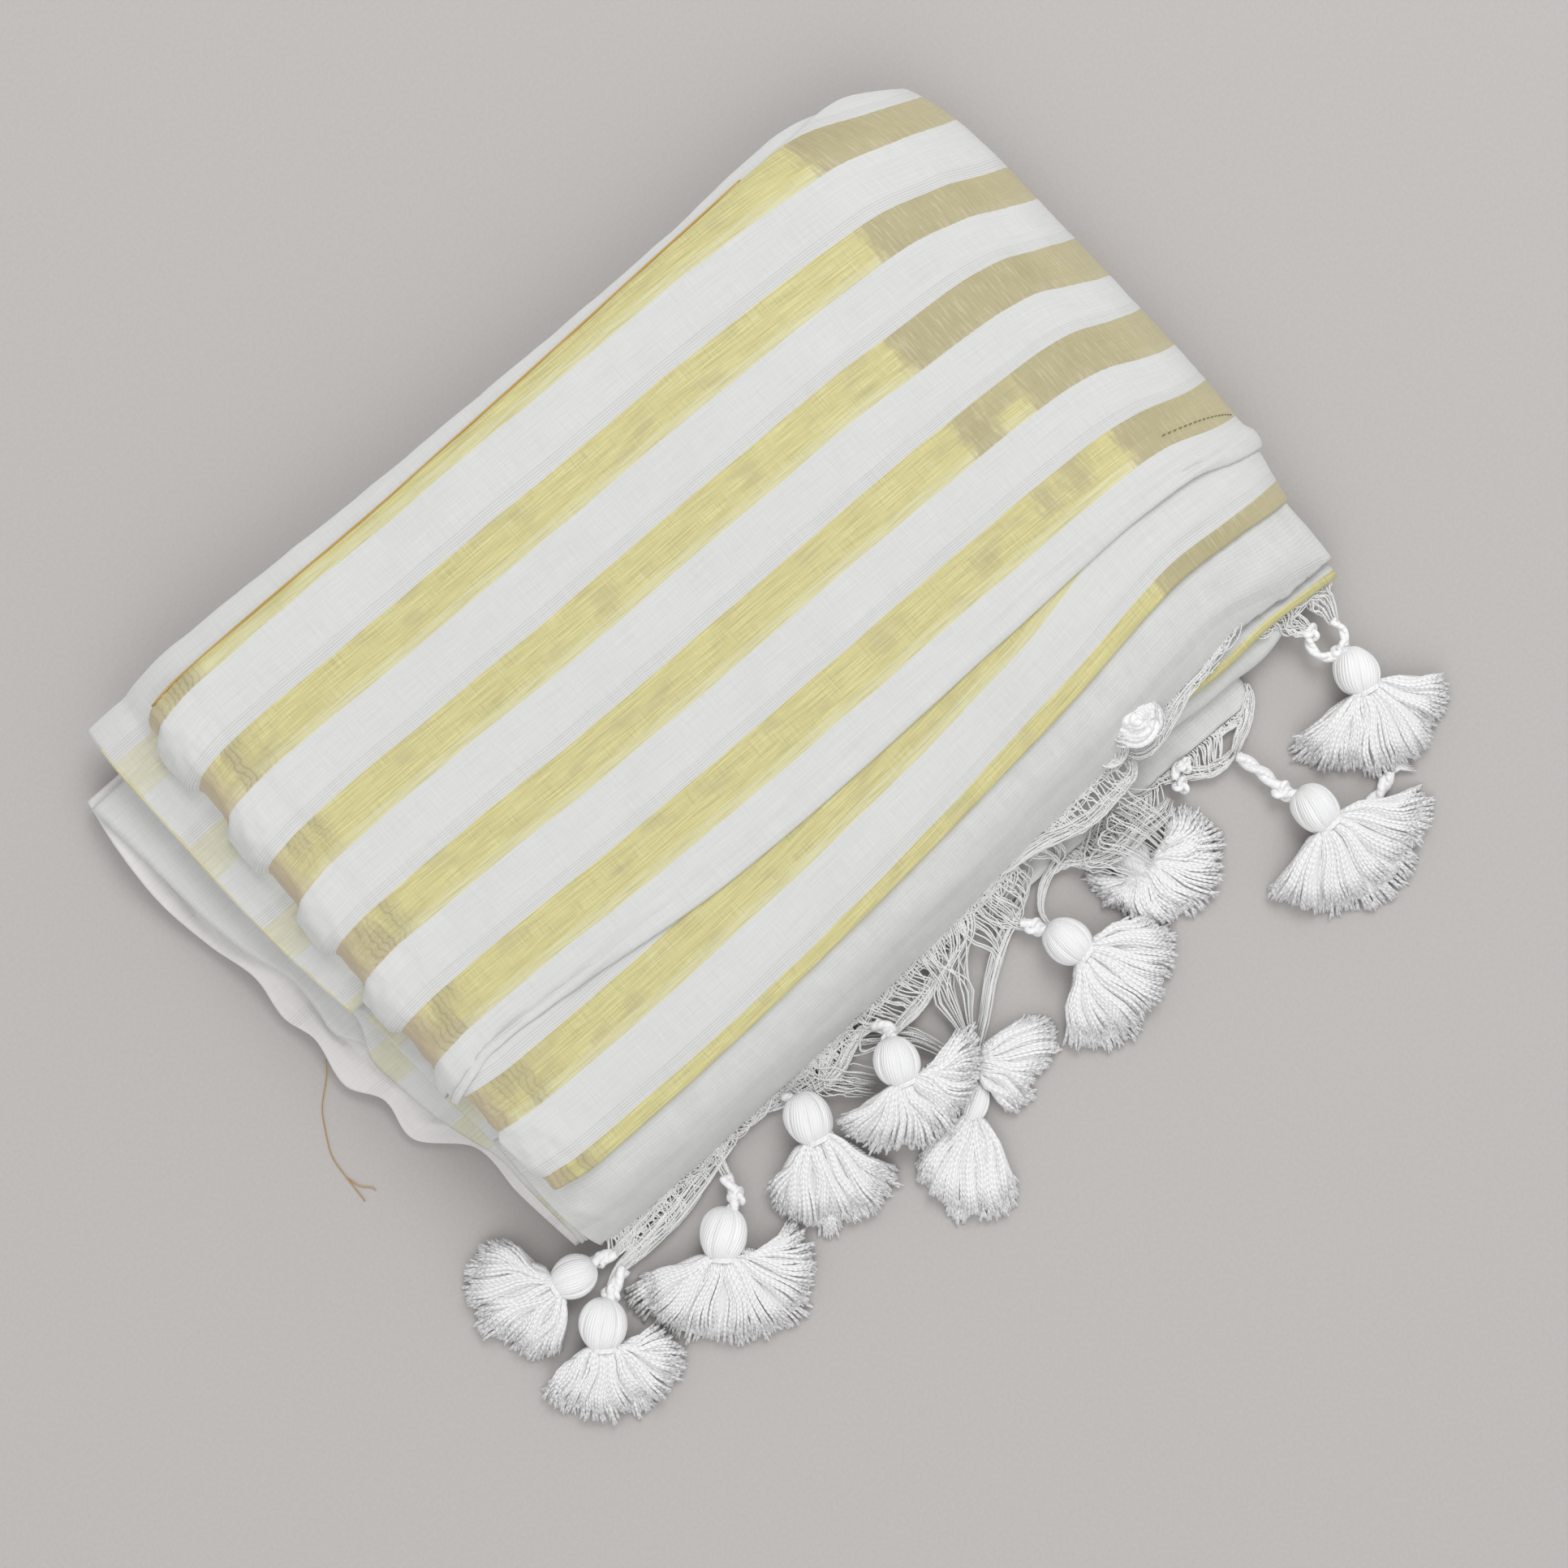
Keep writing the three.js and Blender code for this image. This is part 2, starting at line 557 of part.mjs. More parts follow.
// Height of the slope in front at a place in plan, or the stack's own behind it.
function frontHeight(x, y) {
  if (y > frontPoint(x, 0).y) return stackHeight(x, y) + 0.8;
  let [low, high] = [0, 1];
  for (let i = 0; i < SEARCH_STEPS; i += 1) {
    const t = (low + high) / 2;
    if (frontPoint(x, t).y > y) low = t;
    else high = t;
  }
  return frontPoint(x, low).z;
}

// ---------------------------------------------------------------- layers under the end zone
// The second layer's folded edge in section: how far in from the edge, and the height above its middle.
const SECOND_SECTION = [
  { inward: 6.5, up: -1.6 },
  { inward: 2.5, up: -2.0 },
  { inward: 0.4, up: -1.2 },
  { inward: 0, up: 0.2 },
  { inward: 0.8, up: 1.4 },
  { inward: 3, up: 1.9 },
  { inward: 6.5, up: 1.6 },
];

function secondLayer() {
  const rings = SECOND_EDGE.map(({ x, y, z }) => (
    SECOND_SECTION.map(({ inward, up }) => point(x, y + inward, z + up))
  ));
  return ringSolid(rings);
}

// The roll below it: its middle, half sizes, and how full it is along x.
const ROLL = { y: -97.6, z: 7.6, deep: 4.8, high: 3.6, sides: 8 };
const ROLL_STATIONS = [
  { x: 74, size: 0.35 },
  { x: 84, size: 0.8 },
  { x: 104, size: 1 },
  { x: 122, size: 1.08 },
  { x: 131, size: 0.8 },
  { x: 135, size: 0.35 },
];

function lowerRoll() {
  const rings = ROLL_STATIONS.map(({ x, size }) => Array.from({ length: ROLL.sides }, (_, i) => {
    const angle = (i / ROLL.sides) * 2 * Math.PI;
    const [deep, high] = [ROLL.deep * size, ROLL.high * size];
    return point(x, ROLL.y + deep * Math.cos(angle), ROLL.z + high * Math.sin(angle));
  }));
  return ringSolid(rings);
}

// The third layer lies nearly on the floor: y of its hem and inner edge, and x where its round corner starts.
const THIRD_HEM = -111;
const THIRD_INNER = -103.4;
const THIRD_CORNER = 108;
const THIRD_X = [30, 42, 54, 66, 78, 90, 102, 110, 114];
const thirdHemY = (x) => THIRD_HEM + 0.6 * Math.max(0, x - THIRD_CORNER);

function thirdLayer() {
  const grid = [0, 0.35, 0.7, 1].map((t) => THIRD_X.map((x, i) => {
    const wave = 0.7 * Math.abs(Math.sin(i * 2.3)) * t;
    return point(x, mix(THIRD_INNER, thirdHemY(x), t), mix(3.2, 2.4, t) + wave);
  }));
  return clothWall(grid);
}

// ---------------------------------------------------------------- fringe
// A three-sided strand through stations of centre and half width.
function strand(stations) {
  const rings = stations.map(({ p, wide, high }, i) => {
    const a = stations[Math.max(i - 1, 0)].p;
    const b = stations[Math.min(i + 1, stations.length - 1)].p;
    const side = b.clone().sub(a).cross(point(0, 0, 1)).normalize();
    const low = p.z - high / 2;
    return [
      p.clone().addScaledVector(side, wide).setZ(low),
      p.clone().addScaledVector(side, -wide).setZ(low),
      p.clone().setZ(low + high),
    ];
  });
  return ringSolid(rings);
}

// A narrow strip along a hem, parted from it, with strands fused to it.
function fringe({ from, to, strands, length, lean }, hemAt) {
  const steps = Math.ceil((to - from) / 9);
  const strip = Array.from({ length: steps + 1 }, (_, i) => {
    const { p } = hemAt(mix(from, to, i / steps));
    return HEM_SECTION.map(([dy, dz]) => p.clone().add(point(0, dy, dz)));
  });
  const pieces = [ringSolid(strip)];
  for (let i = 0; i < strands; i += 1) {
    const { p } = hemAt(mix(from + 1.2, to - 1.2, i / (strands - 1)));
    const reach = length * (0.8 + 0.3 * Math.abs(Math.sin(i * 1.7)));
    const drift = lean + 1.2 * Math.sin(i * 2.6);
    const root = p.clone().add(point(0, -1.6, -0.1));
    const tip = root.clone().add(point(drift, -reach, 0)).setZ(STRAND_TIP_Z);
    pieces.push(strand([root, tip].map((q) => ({ p: q, wide: STRAND_HALF_WIDTH, high: 0.9 }))));
  }
  return join(pieces);
}

const endHemAt = (x) => ({ p: point(x, lineY('endHem', x) - HEM_PART, Math.max(endHemZ(x), 2.6)) });
const thirdHemAt = (x) => ({ p: point(x, thirdHemY(x) - GAP, 2.8) });

// ---------------------------------------------------------------- tassels
const LOWER_LOCKS = 7;
const UPPER_LOCKS = 4;
const LOCK_FLOOR = 0.7;           // the skirt's underside above the floor
const NECK = 0.78;                // the skirt's root, as a share of the head's radius

function tasselLocks({ x, y, r, from, to, reach, rise, flat }) {
  const rows = [
    { count: LOWER_LOCKS, base: LOCK_FLOOR, high: 4.4, share: 1, spread: 1, droop: 0 },
    { count: UPPER_LOCKS, base: 5.7, high: 4.2, share: 0.86, spread: 0.82, droop: 1.2 },
  ];
  const headZ = r * flat + LOCK_FLOOR;
  const middle = (from + to) / 2;
  return rows.flatMap(({ count, base, high, share, spread, droop }) => Array.from({ length: count }, (_, i) => {
    const turned = (i / (count - 1) - 0.5) * (to - from) * spread;
    const angle = radians(middle + turned);
    const step = radians(((to - from) * spread) / (count - 1));
    const heading = point(Math.cos(angle), Math.sin(angle), 0);
    const uneven = share * (0.94 + 0.08 * Math.sin(i * 2.3 + x));
    const at = (distance, z) => point(x, y, z + rise).addScaledVector(heading, distance);
    const wideAt = (distance) => Math.max(0.7, distance * Math.tan(step / 2) - 0.5);
    const rootZ = Math.min(headZ, base + high * 0.4 + 1);
    const [bendAt, tipAt] = [r + 4, reach * uneven];
    return strand([
      { p: at(r * NECK * 0.5, rootZ), wide: 0.8, high: high * 0.5 },
      { p: at(bendAt, base + high / 2), wide: wideAt(bendAt) * 0.9, high: high * 0.85 },
      { p: at(tipAt, base + high / 2 - droop), wide: wideAt(tipAt) * 0.86, high: high * 0.75 },
    ]);
  }));
}

function tasselCord(points) {
  const half = 1.6;
  return ringSolid(points.map(([x, y, z], i) => {
    const [ax, ay, az] = points[Math.max(i - 1, 0)];
    const [bx, by, bz] = points[Math.min(i + 1, points.length - 1)];
    const along = point(bx - ax, by - ay, bz - az).normalize();
    const side = along.clone().cross(point(0, 0, 1)).normalize();
    const up = side.clone().cross(along);
    return [[1, 0], [0, 1], [-1, 0], [0, -1]].map(([s, u]) => point(x, y, z)
      .addScaledVector(side, s * half).addScaledVector(up, u * half));
  }));
}

function tassel(row, number) {
  const { x, y, r, rise, flat } = row;
  const head = new THREE.SphereGeometry(r, 9, 6);
  head.deleteAttribute('normal');
  head.deleteAttribute('uv');
  head.rotateX(Math.PI / 2);
  head.scale(1, 1, flat * 0.97);
  head.translate(x, y, r * flat + LOCK_FLOOR + rise);
  const pieces = [head, ...tasselLocks(row)];
  const middle = [x, y, r * flat + LOCK_FLOOR + rise];
  if (CORDS[number]) pieces.push(tasselCord([middle, ...CORDS[number]]));
  return join(pieces);
}

// The coiled bunch of yarn on the cloth's edge.
const ROSETTE = { x: 77.5, y: -90, radius: 6.8, high: 5.2 };
const ROSETTE_LIFT = 2.4;         // its underside above the slope in front, clear of the end zone

function threadRosette() {
  const { x, y, radius, high } = ROSETTE;
  const slope = Math.atan2(frontHeight(x, y + 4) - frontHeight(x, y - 4), 8);
  const shares = [[0.82, 0], [1, 0.3], [0.92, 0.62], [0.6, 0.9], [0.25, 1]];
  const rings = shares.map(([share, up]) => Array.from({ length: 10 }, (_, i) => {
    const angle = (i / 10) * 2 * Math.PI;
    const reach = radius * share * (1 + 0.07 * Math.sin(angle * 5));
    return point(reach * Math.cos(angle), reach * Math.sin(angle), high * up);
  }));
  const geometry = ringSolid(rings);
  geometry.rotateX(slope);
  const [out, up] = [ROSETTE_LIFT * Math.sin(slope), ROSETTE_LIFT * Math.cos(slope)];
  geometry.translate(x, y - out, frontHeight(x, y) + up);
  return geometry;
}

// ---------------------------------------------------------------- the part
const group = new THREE.Group();

function add(name, geometry, color, roughness = 0.9) {
  const mesh = new THREE.Mesh(geometry, new THREE.MeshStandardMaterial({ color, roughness, metalness: 0 }));
  mesh.name = name;
  group.add(mesh);
}

add('body_stack', bodyStack(), WHITE);
add('under_layer_a', underLayerA(), WHITE);
add('under_layer_b', underLayerB(), WHITE);
add('pallu_top', palluTop(), GOLD_WHITE, 0.8);
add('pallu_pleat', palluPleat(), WHITE);
add('pallu_mid', palluMid(), GOLD_WHITE, 0.8);
add('pallu_end', palluEnd(), WHITE);
add('second_layer', secondLayer(), WHITE);
add('lower_roll', lowerRoll(), WHITE);
add('third_layer', thirdLayer(), WHITE);
FRINGES.forEach((row) => add(row.name, fringe(row, endHemAt), YARN));
add(THIRD_FRINGE.name, fringe(THIRD_FRINGE, thirdHemAt), YARN);
TASSELS.forEach((row, i) => add(`tassel_${String(i + 1).padStart(2, '0')}`, tassel(row, i + 1), YARN));
add('thread_rosette', threadRosette(), YARN);

export default group;
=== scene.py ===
import math

import bpy
import numpy as np
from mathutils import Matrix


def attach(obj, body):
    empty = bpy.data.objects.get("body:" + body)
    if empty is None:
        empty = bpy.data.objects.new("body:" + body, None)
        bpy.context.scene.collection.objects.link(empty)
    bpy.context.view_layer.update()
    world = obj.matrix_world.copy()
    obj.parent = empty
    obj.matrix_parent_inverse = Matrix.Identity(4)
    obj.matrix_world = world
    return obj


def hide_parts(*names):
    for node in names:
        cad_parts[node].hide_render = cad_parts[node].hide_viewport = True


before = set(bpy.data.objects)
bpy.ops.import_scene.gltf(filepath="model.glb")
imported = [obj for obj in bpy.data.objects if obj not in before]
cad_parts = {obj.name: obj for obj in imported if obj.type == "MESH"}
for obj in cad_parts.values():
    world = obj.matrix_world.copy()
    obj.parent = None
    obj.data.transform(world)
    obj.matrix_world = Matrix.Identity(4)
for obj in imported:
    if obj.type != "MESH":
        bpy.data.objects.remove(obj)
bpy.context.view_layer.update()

# A folded white cotton saree with zari stripes, laid on a floor with its tasselled end in front.
# Tables and helpers are in millimetres, in the part's own frame: +X along the stripes, +Y away
# from the tassels, +Z up. Meshes are made in metres.

MM = 0.001
DRAWS = np.random.default_rng(23)

# ---- sizes
STATION_X = [-150, -130, -40, 60, 110, 140, 160]
LINES = {
    "underBack": [108, 109, 107, 107.5, 110, 104, 96],
    "backEdge": [95, 98.4, 99.5, 103.2, 105.2, 105.2, 97],
    "stripe1Low": [90, 94.4, 94.8, 94.4, 91.3, 85.5, 81],
    "stripe2Top": [71, 75.5, 75.8, 75.4, 72.6, 66.9, 60.5],
    "stripe2Low": [57.5, 61.6, 61.8, 61.8, 59.9, 54.8, 47.5],
    "stripe3Top": [39.2, 43.1, 43.5, 43.9, 42, 38.8, 31.5],
    "stripe3Low": [24.8, 29.4, 29.6, 30.1, 28, 24.8, 16],
    "stripe4Top": [7.8, 11.3, 11, 12.1, 11.5, 9.2, 2.2],
    "stripe4Low": [-5.2, -1.9, -2.8, -1.8, -2.3, -5, -12.7],
    "stripe5Top": [-22.3, -19.8, -20.6, -19.3, -19.3, -21.4, -27],
    "stripe5Low": [-37.2, -33.8, -35.2, -34, -33.5, -35, -41],
    "pleatTop": [-46, -40.8, -41, -39.8, -38.8, -40.4, -43],
    "pleatLow": [-51.5, -43.8, -50.6, -48, -46, -47.3, -53],
    "stripe6Low": [-62, -64.5, -62.3, -53.6, -43.6, -44.4, -49],
    "stripe7Top": [-80.5, -83, -80.5, -69.6, -62.4, -63, -63.5],
    "stripe7Low": [-84.5, -88.3, -84.4, -74.6, -67.3, -68, -69.5],
    "endHem": [-109.5, -110.5, -106.5, -97, -91, -86, -86],
}
END_HEM_Z = [4, 4, 5, 15, 21, 20, 12]
REACH_Y = [-100, -70, -45, -20, 11, 44, 75, 95, 110]
REACH_X = [150, 155.5, 159, 159.5, 158, 156, 153.5, 148, 138]
PUFF_X = [-147.5, -145.7, -142.9, -139.2, -134.8, -130.3, -123, -115]
PUFF_RISE = [1.0, 3.9, 5.6, 5.3, 3.1, 1.5, 0.5, 0]
STACK_TOP = 37.5
ROUND_START, ROUND_MID, ROUND_FOOT, ROUND_TUCK, FULL_TURN = 92, 13, 4.5, 7, 125
TURN_PER_MM = 1.2                 # degrees of the right end's rounding for each millimetre of cloth
PALLU_LIFT = 3.15                 # the pallu's outer face above the hidden layers
UNDER_LIFT = 1.35                 # the same for the layers right under it
CLOTH = 0.36                      # thickness of one layer of cloth
LEFT_END = -147.5

# The cloth's own length coordinate, in millimetres from the first stripe's back edge.
STRIPE_PITCH, STRIPE_WIDTH = 32.6, 14.1
LENGTH_AT = {
    "stripe1Low": 14.1, "stripe2Top": 32.6, "stripe2Low": 46.7, "stripe3Top": 65.2,
    "stripe3Low": 79.3, "stripe4Top": 97.8, "stripe4Low": 111.9, "stripe5Top": 130.4,
    "stripe5Low": 144.5, "pleatTop": 150.2, "pleatLow": 157.5, "stripe6Low": 177.1,
    "stripe7Top": 195.6, "stripe7Low": 200.1,
}


# ---- small maths
def mix(a, b, t):
    return a + (b - a) * t


def smoothstep(low, high, at):
    t = np.clip((at - low) / (high - low), 0, 1)
    return t * t * (3 - 2 * t)


def smooth_read(keys, values, at):
    """A smooth curve through values at rising keys, read at many places."""
    keys, values = np.asarray(keys, float), np.asarray(values, float)
    last = len(keys) - 1
    before = np.maximum(np.arange(last + 1) - 1, 0)
    after = np.minimum(np.arange(last + 1) + 1, last)
    slope = (values[after] - values[before]) / (keys[after] - keys[before])
    at = np.clip(at, keys[0], keys[-1])
    i = np.clip(np.searchsorted(keys, at, side="right") - 1, 0, last - 1)
    span = keys[i + 1] - keys[i]
    t = (at - keys[i]) / span
    return ((2 * t**3 - 3 * t**2 + 1) * values[i] + (t**3 - 2 * t**2 + t) * span * slope[i]
            + (3 * t**2 - 2 * t**3) * values[i + 1] + (t**3 - t**2) * span * slope[i + 1])


def line_y(name, x):
    return smooth_read(STATION_X, LINES[name], x)


def unit(v):
    return v / np.maximum(np.linalg.norm(v, axis=-1, keepdims=True), 1e-9)


def stacked(*values):
    """Values side by side, as points or coordinates."""
    return np.stack(np.broadcast_arrays(*values), -1)


def wobble(at, period, seed):
    """A smooth uneven wave between about -1 and 1."""
    turn = 2 * np.pi * np.asarray(at, float) / period
    return (0.5 * np.sin(turn + seed) + 0.3 * np.sin(turn * 1.73 + seed * 2.7)
            + 0.2 * np.sin(turn * 2.91 + seed * 5.1))


def run_length(points, axis=0):
    """Length along lines of points, from 0."""
    spent = np.linalg.norm(np.diff(points, axis=axis), axis=-1).cumsum(axis)
    return np.concatenate([0 * np.take(spent, [0], axis), spent], axis)


def through(points, count):
    """count places on a smooth line through points, evenly by the length between the points."""
    points = np.asarray(points, float)
    keys = run_length(points[:, :3])
    at = np.linspace(0, keys[-1], count)
    return np.stack([smooth_read(keys, points[:, k], at) for k in range(points.shape[1])], -1)


# ---- the bundle's form
def stack_height(x, y):
    """Height of the hidden layers, as the CAD part has it."""
    falls = (8 * np.clip((y - 88) / 22, 0, 1) ** 2 + 10.5 * np.clip((-126 - x) / 24, 0, 1) ** 2
             + 2.2 * np.clip((-48 - y) / 38, 0, 1) ** 2 + 0.28 * np.maximum(0, -150 - x))
    return STACK_TOP - falls + 0.5 * np.sin(x / 31 + y / 47) + 0.35 * np.sin(x / 13 - y / 29)


def column_x(flat_x, turn, y):
    """Plan x of a column, which is flat at first and then turns down round the right end."""
    reach = smooth_read(REACH_Y, REACH_X, y) - ROUND_START
    past = np.clip((turn - 90) / (FULL_TURN - 90), 0, 1)
    swept = np.sin(np.radians(np.minimum(turn, 90)))
    return np.where(turn <= 0, flat_x, ROUND_START + reach * swept - ROUND_TUCK * past * past)


def bundle(flat_x, turn, y, height):
    """Points of the bundle's surface, where height is what the flat part has there."""
    x = column_x(flat_x, turn, y)
    middle = np.minimum(height, ROUND_MID)
    cos = np.cos(np.radians(np.minimum(turn, 90)))
    past = np.clip((turn - 90) / (FULL_TURN - 90), 0, 1)
    z = mix(middle + (height - middle) * cos, np.minimum(middle, ROUND_FOOT), past)
    return stacked(x, y, np.where(turn <= 0, height, z))


def column_line(flat_x, turn, name):
    """y of a named line, carried on round the right end."""
    first = line_y(name, column_x(flat_x, turn, line_y(name, flat_x)))
    reached = column_x(flat_x, turn, first)
    share = np.sin(np.radians(np.minimum(turn, 90))) ** 4
    return line_y(name, np.where(turn <= 0, reached, mix(reached, 160, share)))


def columns(start=LEFT_END, fine_to=-125, fine=0.5, step=1.9, full=FULL_TURN):
    """Flat x, turn and cloth width coordinate of a sheet's columns."""
    flat = np.concatenate([np.arange(start, fine_to, fine), np.arange(fine_to, ROUND_START, step)])
    along = np.arange(0, full / TURN_PER_MM, step)
    flat_x = np.concatenate([flat, np.full(len(along), ROUND_START)])
    turn = np.concatenate([np.zeros(len(flat)), along * TURN_PER_MM])
    return flat_x, turn, np.concatenate([flat, ROUND_START + along])


# ---- meshes
def normals(grid, flip=None):
    rows = np.gradient(grid, axis=0)
    cols = np.gradient(grid, axis=1)
    n = unit(np.cross(cols, rows))
    if flip is None:
        flip = np.median(n[..., 2]) < 0
    return -n if flip else n


def mesh_object(name, verts, quads, uv, material):
    """A smooth mesh of quads, given in millimetres, with the cloth's coordinates in a UV map."""
    mesh = bpy.data.meshes.new(name)
    quads = np.asarray(quads, np.int32)
    mesh.vertices.add(len(verts))
    mesh.loops.add(quads.size)
    mesh.polygons.add(len(quads))
    mesh.vertices.foreach_set("co", (np.asarray(verts) * MM).astype(np.float32).ravel())
    mesh.loops.foreach_set("vertex_index", quads.ravel())
    mesh.polygons.foreach_set("loop_start", np.arange(len(quads), dtype=np.int32) * 4)
    mesh.polygons.foreach_set("use_smooth", np.ones(len(quads), bool))
    layer = mesh.uv_layers.new(name="cloth")
    layer.data.foreach_set("uv", np.asarray(uv, np.float32)[quads.ravel()].ravel())
    mesh.update(calc_edges=True)
    mesh.validate()
    mesh.materials.append(material)
    made = bpy.data.objects.new(name, mesh)
    bpy.context.scene.collection.objects.link(made)
    return made


def joined(parts):
    """Several (verts, quads, uv) as one."""
    verts, quads, uvs = zip(*parts)
    starts = np.cumsum([0, *map(len, verts)])
    quads = [at + start for at, start in zip(quads, starts)]
    return np.concatenate(verts), np.concatenate(quads), np.concatenate(uvs)


def shell(grid, uv, thick=CLOTH, flip=None):
    """A thin closed sheet whose outer face is a grid of points."""
    rows, cols = grid.shape[:2]
    up = normals(grid, flip)
    under = grid - up * thick
    at = np.arange(rows * cols).reshape(rows, cols)
    a, b, c, d = at[:-1, :-1], at[:-1, 1:], at[1:, 1:], at[1:, :-1]
    top = stacked(a, b, c, d).reshape(-1, 4)
    low = stacked(a, d, c, b).reshape(-1, 4) + rows * cols
    ring = np.concatenate([at[0, :-1], at[:-1, -1], at[-1, :0:-1], at[:0:-1, 0]])
    nxt = np.roll(ring, -1)
    rim = stacked(ring, ring + rows * cols, nxt + rows * cols, nxt)
    verts = np.concatenate([grid.reshape(-1, 3), under.reshape(-1, 3)])
    quads = np.concatenate([top, low, rim])
    corner = grid[:-1, :-1]
    facing = unit(np.cross(grid[1:, :-1] - corner, grid[:-1, 1:] - corner))
    if np.sum(facing * up[:-1, :-1]) > 0:
        quads = quads[:, ::-1]
    return verts, quads, np.concatenate([uv.reshape(-1, 2)] * 2)


def rolled_edge(grid, uv, side, radius, turn=180, tuck=5, steps=8):
    """The grid with one edge rolled under: its 'first' or 'last' row, or 'left' for its first column."""
    if side != "first":
        turned = (lambda a: a.swapaxes(0, 1)) if side == "left" else (lambda a: a[::-1])
        rolled = rolled_edge(turned(grid), turned(uv), "first", radius, turn, tuck, steps)
        return [turned(a) for a in rolled]
    edge, up = grid[0], normals(grid)[0]
    out = unit(edge - grid[2])
    phi = np.radians(np.linspace(0, turn, steps + 1)[1:])[:, None, None]
    radius, tuck = (np.asarray(value, float) for value in (radius, tuck))
    radius, tuck = (value[:, None] if value.ndim else value for value in (radius, tuck))
    curl = edge + radius * (out * np.sin(phi) - up * (1 - np.cos(phi)))
    back = out * np.cos(phi[-1]) - up * np.sin(phi[-1])
    inner = np.stack([curl[-1] + back * tuck * t for t in (0.5, 1.0)])
    added = np.concatenate([curl, inner])
    along = unit(uv[0] - uv[2])
    spent = run_length(np.concatenate([edge[None], added]))[1:, :, None]
    return np.concatenate([added[::-1], grid]), np.concatenate([(uv[0] + along * spent)[::-1], uv])


def relief(x, y, table):
    """Height of soft ridges and troughs: each row has two ends in plan, a width and a height."""
    total = np.zeros(np.broadcast(x, y).shape)
    for x0, y0, x1, y1, width, height in table:
        dx, dy = x1 - x0, y1 - y0
        size = math.hypot(dx, dy)
        t = ((x - x0) * dx + (y - y0) * dy) / size**2
        off = ((x - x0) * dy - (y - y0) * dx) / size + width * 0.5 * np.sin(t * 5 + x0)
        ends = smoothstep(-0.12, 0.25, t) * (1 - smoothstep(0.75, 1.12, t))
        total += height * np.exp(-(off / width) ** 2) * ends
    return total


def tubes(lines, radii, sides=4, start=0.0):
    """Many round threads as one mesh: lines are (threads, points, 3)."""
    lines = np.asarray(lines, float)
    count, points = lines.shape[:2]
    radii = np.broadcast_to(radii, (count, points))
    tangent = unit(np.gradient(lines, axis=1))
    side = np.cross(tangent[:, 0], [0, 0, 1.0])
    side = np.where(np.linalg.norm(side, axis=1, keepdims=True) < 0.1, [1.0, 0, 0], side)
    sides_at = []
    for k in range(points):
        t = tangent[:, k]
        side = unit(side - np.sum(side * t, 1, keepdims=True) * t)
        sides_at.append(side)
    s = np.stack(sides_at, 1)
    up = np.cross(tangent, s)
    angle = start + 2 * np.pi * np.arange(sides) / sides
    around = s[:, :, None] * np.cos(angle)[:, None] + up[:, :, None] * np.sin(angle)[:, None]
    verts = lines[:, :, None] + around * radii[:, :, None, None]
    spent = run_length(lines, 1) + 37.0 * np.arange(count)[:, None]
    uv = stacked(spent[:, :, None], np.arange(sides) / sides)
    at = np.arange(count * points * sides).reshape(count, points, sides)
    a, b = at[:, :-1], at[:, 1:]
    quads = stacked(a, np.roll(a, -1, 2), np.roll(b, -1, 2), b).reshape(-1, 4)
    caps = []
    for k in range(1, sides - 2, 2):
        order = [0, k, k + 1, k + 2]
        caps += [at[:, 0][:, order[::-1]], at[:, -1][:, order]]
    return verts.reshape(-1, 3), np.concatenate([quads, *caps])[:, ::-1], uv.reshape(-1, 2)


# ---- materials
TURN = 6.283                      # one turn of a wave in the materials, in radians


class Value:
    """A shader value that arithmetic adds nodes to."""

    def __init__(self, graph, socket):
        self.graph, self.socket = graph, socket

    def math(self, operation, other=0.0):
        return self.graph.node("Math", {0: self, 1: other}, operation=operation)

    def __add__(self, other):
        return self.math("ADD", other)

    def __sub__(self, other):
        return self.math("SUBTRACT", other)

    def __mul__(self, other):
        return self.math("MULTIPLY", other)

    def wave(self, period=1.0):
        return (self * (TURN / period)).math("SINE")

    def spread(self, low, high, to_low=0.0, to_high=1.0, kind="LINEAR"):
        values = {0: self, 1: low, 2: high, 3: to_low, 4: to_high}
        return self.graph.node("MapRange", values, interpolation_type=kind)

    def window(self, low, high, soft):
        """1 from low to high, with soft edges."""
        rise = self.spread(low - soft, low + soft, kind="SMOOTHSTEP")
        return rise * self.spread(high - soft, high + soft, 1.0, 0.0, "SMOOTHSTEP")


